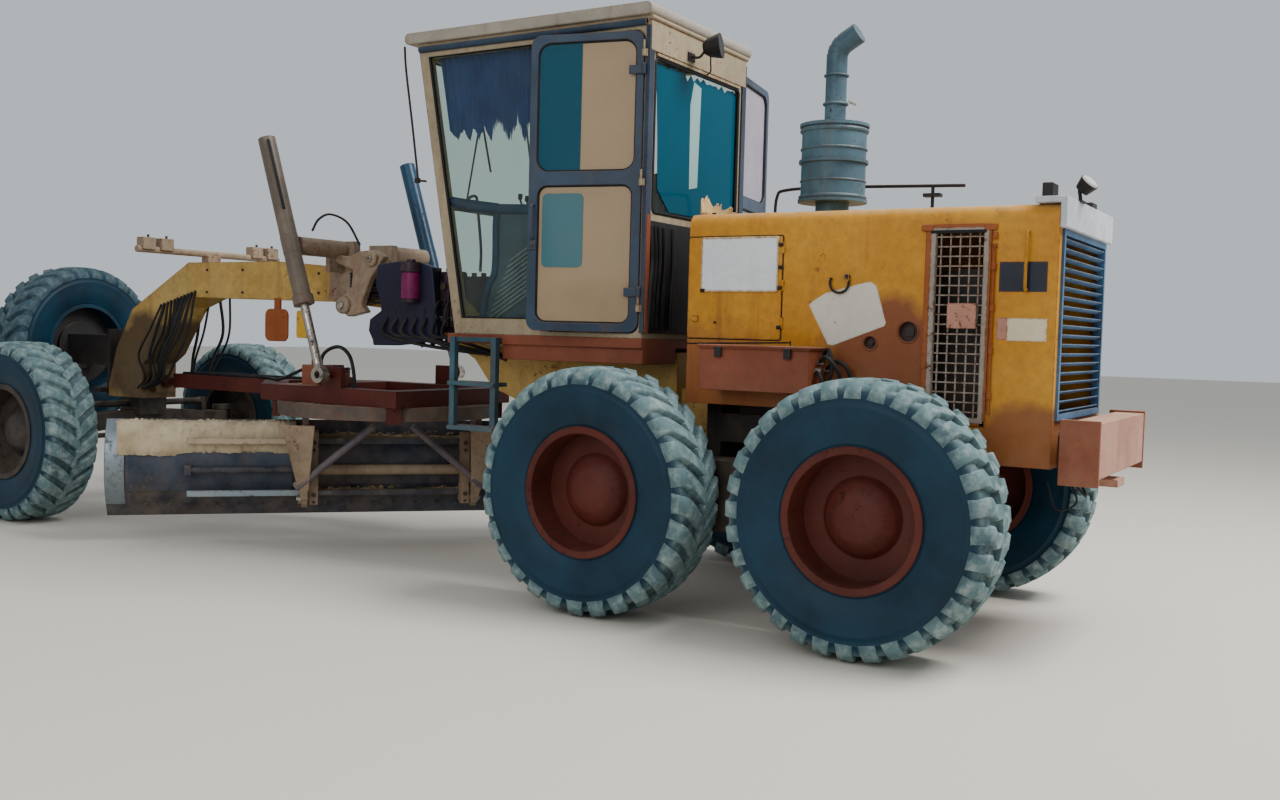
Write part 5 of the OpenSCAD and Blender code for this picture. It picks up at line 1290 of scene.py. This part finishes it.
class GRADER_OT_linkage(bpy.types.Operator):
    """Makes the filter, valve caps, casting and hanging plates, and the beam's and drawbar's hoses"""
    bl_idname = "grader.linkage"
    bl_label = "Linkage"

    def execute(self, context):
        several("filter_bowl", "hydraulics", "magenta", [
            (add_rod, at(2.64, 0.42, 1.715), at(2.64, 0.42, 1.89), 0.064, 32)], 0.006)
        several("filter_bands", "hydraulics", "valve", [
            (add_rod, at(2.64, 0.42, 1.89), at(2.64, 0.42, 1.912), 0.072, 32),
            (add_rod, at(2.64, 0.42, 1.69), at(2.64, 0.42, 1.716), 0.056, 32),
            (add_rod, at(2.64, 0.42, 1.955), at(2.64, 0.42, 1.975), 0.03, 6)], 0.003)
        # Spool caps and unions over the valve banks
        rng = random.Random(5)
        caps, elbows, hoses = [], [], []
        for sign in (1, -1):
            for i in range(7):
                x = 2.343 + 0.0857 * i
                caps.append((add_rod, at(x, sign * 0.332, 1.8), at(x, sign * 0.35, 1.8), 0.022, 8))
                caps.append((add_rod, at(x, sign * 0.29, 1.9), at(x, sign * 0.29, 1.925), 0.019, 6))
                elbows.append((add_rod, at(x, sign * 0.345, 1.59), at(x, sign * 0.372, 1.59), 0.015, 6))
                drop = 1.4 + 0.06 * rng.random()
                back = 2.04 + 0.022 * i
                hoses.append((add_hose, [
                    at(x, sign * 0.368, 1.59), at(x + 0.01, sign * 0.405, 1.575),
                    at(x + 0.02, sign * 0.415, 1.48),
                    at(0.6 * x + 0.4 * back, sign * (0.3 + 0.08 * rng.random()), drop),
                    at(back + 0.05, sign * 0.2, 1.37),
                    at(back, sign * BEAM_SIDE, 1.33 + 0.008 * i)], 0.012))
                ahead = x + 0.14
                hoses.append((add_hose, [
                    at(x, sign * 0.345, 1.7), at(x + 0.01, sign * 0.385, 1.69),
                    at(x + 0.03, sign * 0.39, 1.6), at(x + 0.09, sign * 0.34, 1.5 - 0.1 * rng.random()),
                    at(ahead, sign * BEAM_SIDE, min(1.7, 1.44 + 0.54 * (ahead - 2.3)))], 0.01))
        for i in range(6):
            # Runs along the beam's side, sagging between the banks and the yoke
            z = 1.735 + 0.022 * i
            sag = 0.02 + 0.035 * rng.random()
            hoses.append((add_hose, [at(2.86, 0.3, z), at(3.02, 0.25, z - sag),
                                     at(3.14, 0.22, z - 1.3 * sag), at(3.26, 0.215, z - 0.4 * sag),
                                     at(3.36, 0.24, z + 0.05)], 0.01))
        several("valve_caps", "hydraulics", "cast", caps, 0.002)
        several("valve_unions", "hydraulics", "chrome", elbows)
        several("valve_hoses", "hydraulics", "hose", hoses)
        # The pressed cover over the left bank, that reaches below it
        cover = [(2.56, 1.95), (2.78, 1.965), (2.96, 1.945), (2.975, 1.813), (2.93, 1.7), (2.925, 1.635),
                 (3.025, 1.576), (3.035, 1.5), (2.998, 1.44), (2.99, 1.402), (2.792, 1.405), (2.645, 1.42),
                 (2.432, 1.45), (2.436, 1.586), (2.481, 1.924)]
        several("valve_cover", "hydraulics", "cover", [(add_plate, cover, 0.05, upright(0.372))], 0.012)
        # The casting that holds the swing cylinders, thick and rounded
        casting = [(3.49, 2.029), (3.324, 2.008), (3.226, 2.046), (3.093, 2.052), (3.004, 2.005),
                   (3.134, 1.849), (3.21, 1.68), (3.16, 1.625), (3.335, 1.59), (3.438, 1.676),
                   (3.375, 1.743), (3.302, 1.797), (3.29, 1.916), (3.45, 1.96)]
        several("lift_casting", "lift_arms", "tan", [
            (add_plate, casting, 0.07, upright(0.262)),
            (add_rod, at(3.1, 0.2, 1.99), at(3.1, 0.33, 1.99), 0.052, 24),
            (add_rod, at(3.36, 0.2, 1.67), at(3.36, 0.33, 1.67), 0.06, 24)], 0.014)
        several("lift_casting_pins", "lift_arms", "chrome", [
            (add_rod, at(3.1, 0.3, 1.99), at(3.1, 0.345, 1.99), 0.024, 16),
            (add_rod, at(3.36, 0.3, 1.67), at(3.36, 0.345, 1.67), 0.028, 16)], 0.003)
        for name, kind, corners, radius, start, end in (
                ("hanging_plate", "orange", (4.05, 1.4, 4.29, 1.64), 0.05, 4.14, 4.2),
                ("hanging_plate_amber", "amber", (3.85, 1.43, 3.96, 1.63), 0.02, 3.88, 3.92)):
            several(name, "lift_arms", kind, [
                (add_plate, rounded(*corners, radius), 0.012, upright(0.168)),
                (add_block, at(start, 0.15, 1.62), at(end, 0.17, 1.72))], 0.003)
        # Pipe that lies along the near barrel, from its head down to the trunnion
        head, down = at(3.703, 0.7, 2.78), Vector((-0.3195, 0.0, -0.9476))
        beside = Vector((-0.758, 0.6, 0.256))
        run = ((0.03, 0.05), (0.06, 0.067), (0.25, 0.067), (0.49, 0.067), (0.52, 0.05))
        several("lift_hoses", "lift_barrel_left", "hose", [
            (add_hose, [head + down * length + beside * out for length, out in run], 0.01)])
        several("yoke_hose", "lift_arms", "hose", [
            (add_hose, [at(3.47, 0.5, 2.17), at(3.43, 0.48, 2.25), at(3.35, 0.45, 2.285),
                        at(3.24, 0.4, 2.23), at(3.177, 0.34, 2.08)], 0.008)])
        several("far_pipe", "lift_arms", "hose", [
            (add_hose, [at(2.56, -0.2, 1.93), at(2.575, -0.22, 2.1), at(2.63, -0.24, 2.4),
                        at(2.645, -0.24, 2.455), at(2.7, -0.26, 2.46), at(2.78, -0.3, 2.44)], 0.01)])
        # Hoses that hang in a fan from the beam's front slope to the axle
        fan = []
        for i in range(11):
            share = i / 10
            y = 0.17 + 0.05 * math.sin(7 * share)
            bow = 0.06 + 0.06 * rng.random()
            for sign in ((1, -1) if i % 3 == 0 else (1,)):
                fan.append((add_hose, [
                    at(5.08 + 0.4 * share, sign * 0.168, 1.77 - 0.11 * share),
                    at(5.12 + 0.42 * share, sign * (y + 0.03), 1.45),
                    at(5.18 + 0.36 * share + bow, sign * (y + 0.04), 1.25),
                    at(5.38 + 0.22 * share, sign * (y + 0.02), 1.08),
                    at(5.62 + 0.1 * share, sign * y, 0.985)], 0.009 + 0.003 * (i % 2)))
        several("nose_hoses", "front_frame", "hose", fan)
        # Bolts along the beam's sides
        spots = ((3.75, 1.9), (3.75, 1.76), (4.55, 1.93), (4.55, 1.76), (4.95, 1.93), (4.95, 1.76),
                 (2.2, 1.36), (1.9, 1.36), (1.6, 1.36))
        several("beam_bolts", "front_frame", "dark", [
            (add_rod, at(x, sign * BEAM_SIDE, z), at(x, sign * (BEAM_SIDE + 0.01), z), 0.01, 6)
            for sign in (1, -1) for x, z in spots])
        low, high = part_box("light_bar")
        lamp_ys = [sign * y for sign in (1, -1) for y in (0.435, 0.595)]
        several("light_bar_bolts", "light_bar", "dark", [
            (add_rod, Vector((low.x + 0.02, y, high.z - 0.012)), Vector((low.x + 0.02, y, high.z + 0.02)),
             0.01, 6) for y in lamp_ys])
        several("light_bar_glass", "light_bar", "lens", [
            (add_block, Vector((high.x - 0.004, y - 0.04, high.z - 0.074)),
             Vector((high.x + 0.004, y + 0.04, high.z - 0.012))) for y in lamp_ys], 0.002)
        # The drawbar's hoses and the unions of the circle's drive
        several("drawbar_hoses", "drawbar", "hose", [
            (add_hose, [at(3.52, 0.36, 1.13), at(3.5, 0.37, 1.29), at(3.42, 0.38, 1.36),
                        at(3.3, 0.39, 1.38), at(3.18, 0.42, 1.32), at(3.1, 0.46, 1.2),
                        at(3.08, 0.48, 1.1)], 0.013),
            (add_hose, [at(3.7, 0.08, 1.22), at(3.8, 0.2, 1.22), at(4.02, 0.26, 1.13),
                        at(4.38, 0.08, 1.121), at(4.9, 0.05, 1.121), at(5.38, 0.03, 1.116)], 0.012),
            (add_hose, [at(3.7, -0.08, 1.21), at(3.8, -0.19, 1.2), at(4.08, -0.22, 1.125),
                        at(4.45, -0.07, 1.121), at(4.9, -0.05, 1.121), at(5.3, -0.04, 1.116)], 0.012)])
        several("drawbar_block", "drawbar", "brown", [
            (add_block, at(3.42, 0.28, 1.088), at(3.76, 0.53, 1.112)),
            (add_block, at(3.46, 0.3, 1.105), at(3.64, 0.42, 1.25)),
            (add_rod, at(3.55, 0.36, 1.24), at(3.55, 0.36, 1.29), 0.04, 20),
            (add_rod, at(3.2, 0.44, 1.16), at(3.44, 0.44, 1.16), 0.045, 20)], 0.006)
        return {"FINISHED"}


class GRADER_OT_blade(bpy.types.Operator):
    """Makes the blade's soil, bare end, back plates (dark, partly as painted shade) and bolts, and the
    arms' flanges, braces and pins
    """
    bl_idname = "grader.blade"
    bl_label = "Blade"

    def execute(self, context):
        # Soil is packed over the blade's back, thinner where the clamps pass and thick past the rail's end
        thin = [(-0.024, 0.63), (-0.048, 0.64), (-0.058, 0.665), (-0.06, 0.7), (-0.06, 0.745),
                (-0.06, 0.785), (-0.054, 0.82), (-0.022, 0.846), (0.045, 0.856), (0.084, 0.848),
                (0.02, 0.79), (-0.016, 0.72)]
        thick = [(-0.024, 0.615), (-0.06, 0.625), (-0.085, 0.655), (-0.094, 0.7), (-0.096, 0.745),
                 (-0.094, 0.79), (-0.076, 0.826), (-0.03, 0.85), (0.045, 0.858), (0.084, 0.848),
                 (0.02, 0.79), (-0.016, 0.72)]
        several("blade_soil", "moldboard", "caked", [
            (add_bank, thin, thick, 0.64, 1.37, 1.8, 0.02, 2)])
        several("blade_soil_far", "moldboard", "soil", [
            (add_heap, BLADE @ Matrix.Translation((-0.07, -1.24, 0.728)), 1.86, 0.075, 0.06, 110, 2),
            (add_heap, BLADE @ Matrix.Translation((-0.07, -1.24, 0.368)), 1.86, 0.06, 0.022, 90, 8)])
        # Dark plates over the blade's back: their blue-black is partly oily steel and partly painted shade
        # behind the arms
        several("blade_back_shade_plates", "moldboard", "worn_blue", [
            (add_skin, -1.66, -0.56, -19.0, 19.0, 0.006),
            (add_skin, -0.52, 0.6, -19.0, 19.0, 0.006)], 0.002)
        several("blade_end_plate", "moldboard", "steel_blue", [
            (add_skin, 0.66, 1.745, -24.0, 12.0, 0.008)], 0.002)
        several("blade_bare_end", "moldboard", "bare_end", [
            (add_skin, 1.755, 1.878, -39.0, 44.0, 0.005, 20)], 0.002)
        several("blade_edge_bolts", "moldboard", "dark", [
            (add_rod, along_blade(0.085, y, 0.262), along_blade(0.052, y, 0.275), 0.012, 6)
            for y in (-1.72 + 0.152 * i for i in range(24))])
        flange = [(-0.436, 0.52, 0.856), (-0.436, 0.735, 0.856), (-0.262, 0.606, 0.335),
                  (-0.262, 0.56, 0.335)]
        flanges, braces, pins = [], [], []
        for sign in (1, -1):
            flanges.append((add_wedge, [along_blade(x, sign * y, z) for x, y, z in flange],
                            BLADE.to_3x3() @ Vector((-0.012, 0.0, 0.0))))
            braces += [(add_rod, along_blade(-0.29, sign * 0.59, 0.46),
                        along_blade(-0.37, sign * 0.13, 0.848), 0.025),
                       (add_rod, along_blade(-0.275, sign * 0.64, 0.42),
                        along_blade(-0.29, sign * 0.56, 0.48), 0.034)]
            root, collar, tip = (along_blade(-0.18, sign * y, 0.33) for y in (0.6, 0.622, 0.634))
            pins += [(add_rod, root, collar, 0.034, 24), (add_rod, collar, tip, 0.016, 6)]
        several("arm_flanges", "circle", "tan", flanges, 0.003)
        several("arm_braces", "circle", "grey", braces, 0.003)
        several("arm_pins", "circle", "chrome", pins, 0.002)
        several("bracket_bolts", "slide_brackets", "dark", [
            (add_rod, along_blade(-0.215, y, z - drop), along_blade(tip, y, z - drop), radius, 6)
            for y in (0.52, -0.52) for z in (0.36, 0.72) for drop, tip, radius in (
                (0.0, -0.226, 0.016), (0.05, -0.222, 0.011))])
        return {"FINISHED"}


class GRADER_PT_dress(bpy.types.Panel):
    """Lists the steps that dress the grader"""
    bl_idname = "GRADER_PT_dress"
    bl_label = "Grader"
    bl_space_type = "VIEW_3D"
    bl_region_type = "UI"
    bl_category = "Grader"

    def draw(self, context):
        for group in (context.scene.grader_sizes, context.scene.grader_colours):
            for name in group.__annotations__:
                self.layout.prop(group, name)
        for step in STEPS:
            self.layout.operator(step.bl_idname)


STEPS = (GRADER_OT_stage, GRADER_OT_steelwork, GRADER_OT_tyres, GRADER_OT_rims, GRADER_OT_doors,
         GRADER_OT_cab, GRADER_OT_cab_inside, GRADER_OT_curtain, GRADER_OT_hood, GRADER_OT_rear,
         GRADER_OT_linkage, GRADER_OT_blade)
CLASSES = (GraderSizes, GraderColours, *STEPS, GRADER_PT_dress)


def register():
    for made in CLASSES:
        bpy.utils.register_class(made)
    bpy.types.Scene.grader_sizes = bpy.props.PointerProperty(type=GraderSizes)
    bpy.types.Scene.grader_colours = bpy.props.PointerProperty(type=GraderColours)


def unregister():
    del bpy.types.Scene.grader_sizes
    del bpy.types.Scene.grader_colours
    for made in reversed(CLASSES):
        bpy.utils.unregister_class(made)


def main():
    register()
    for step in STEPS:
        group, name = step.bl_idname.split(".")
        getattr(getattr(bpy.ops, group), name)()


if __name__ == "__main__":
    main()
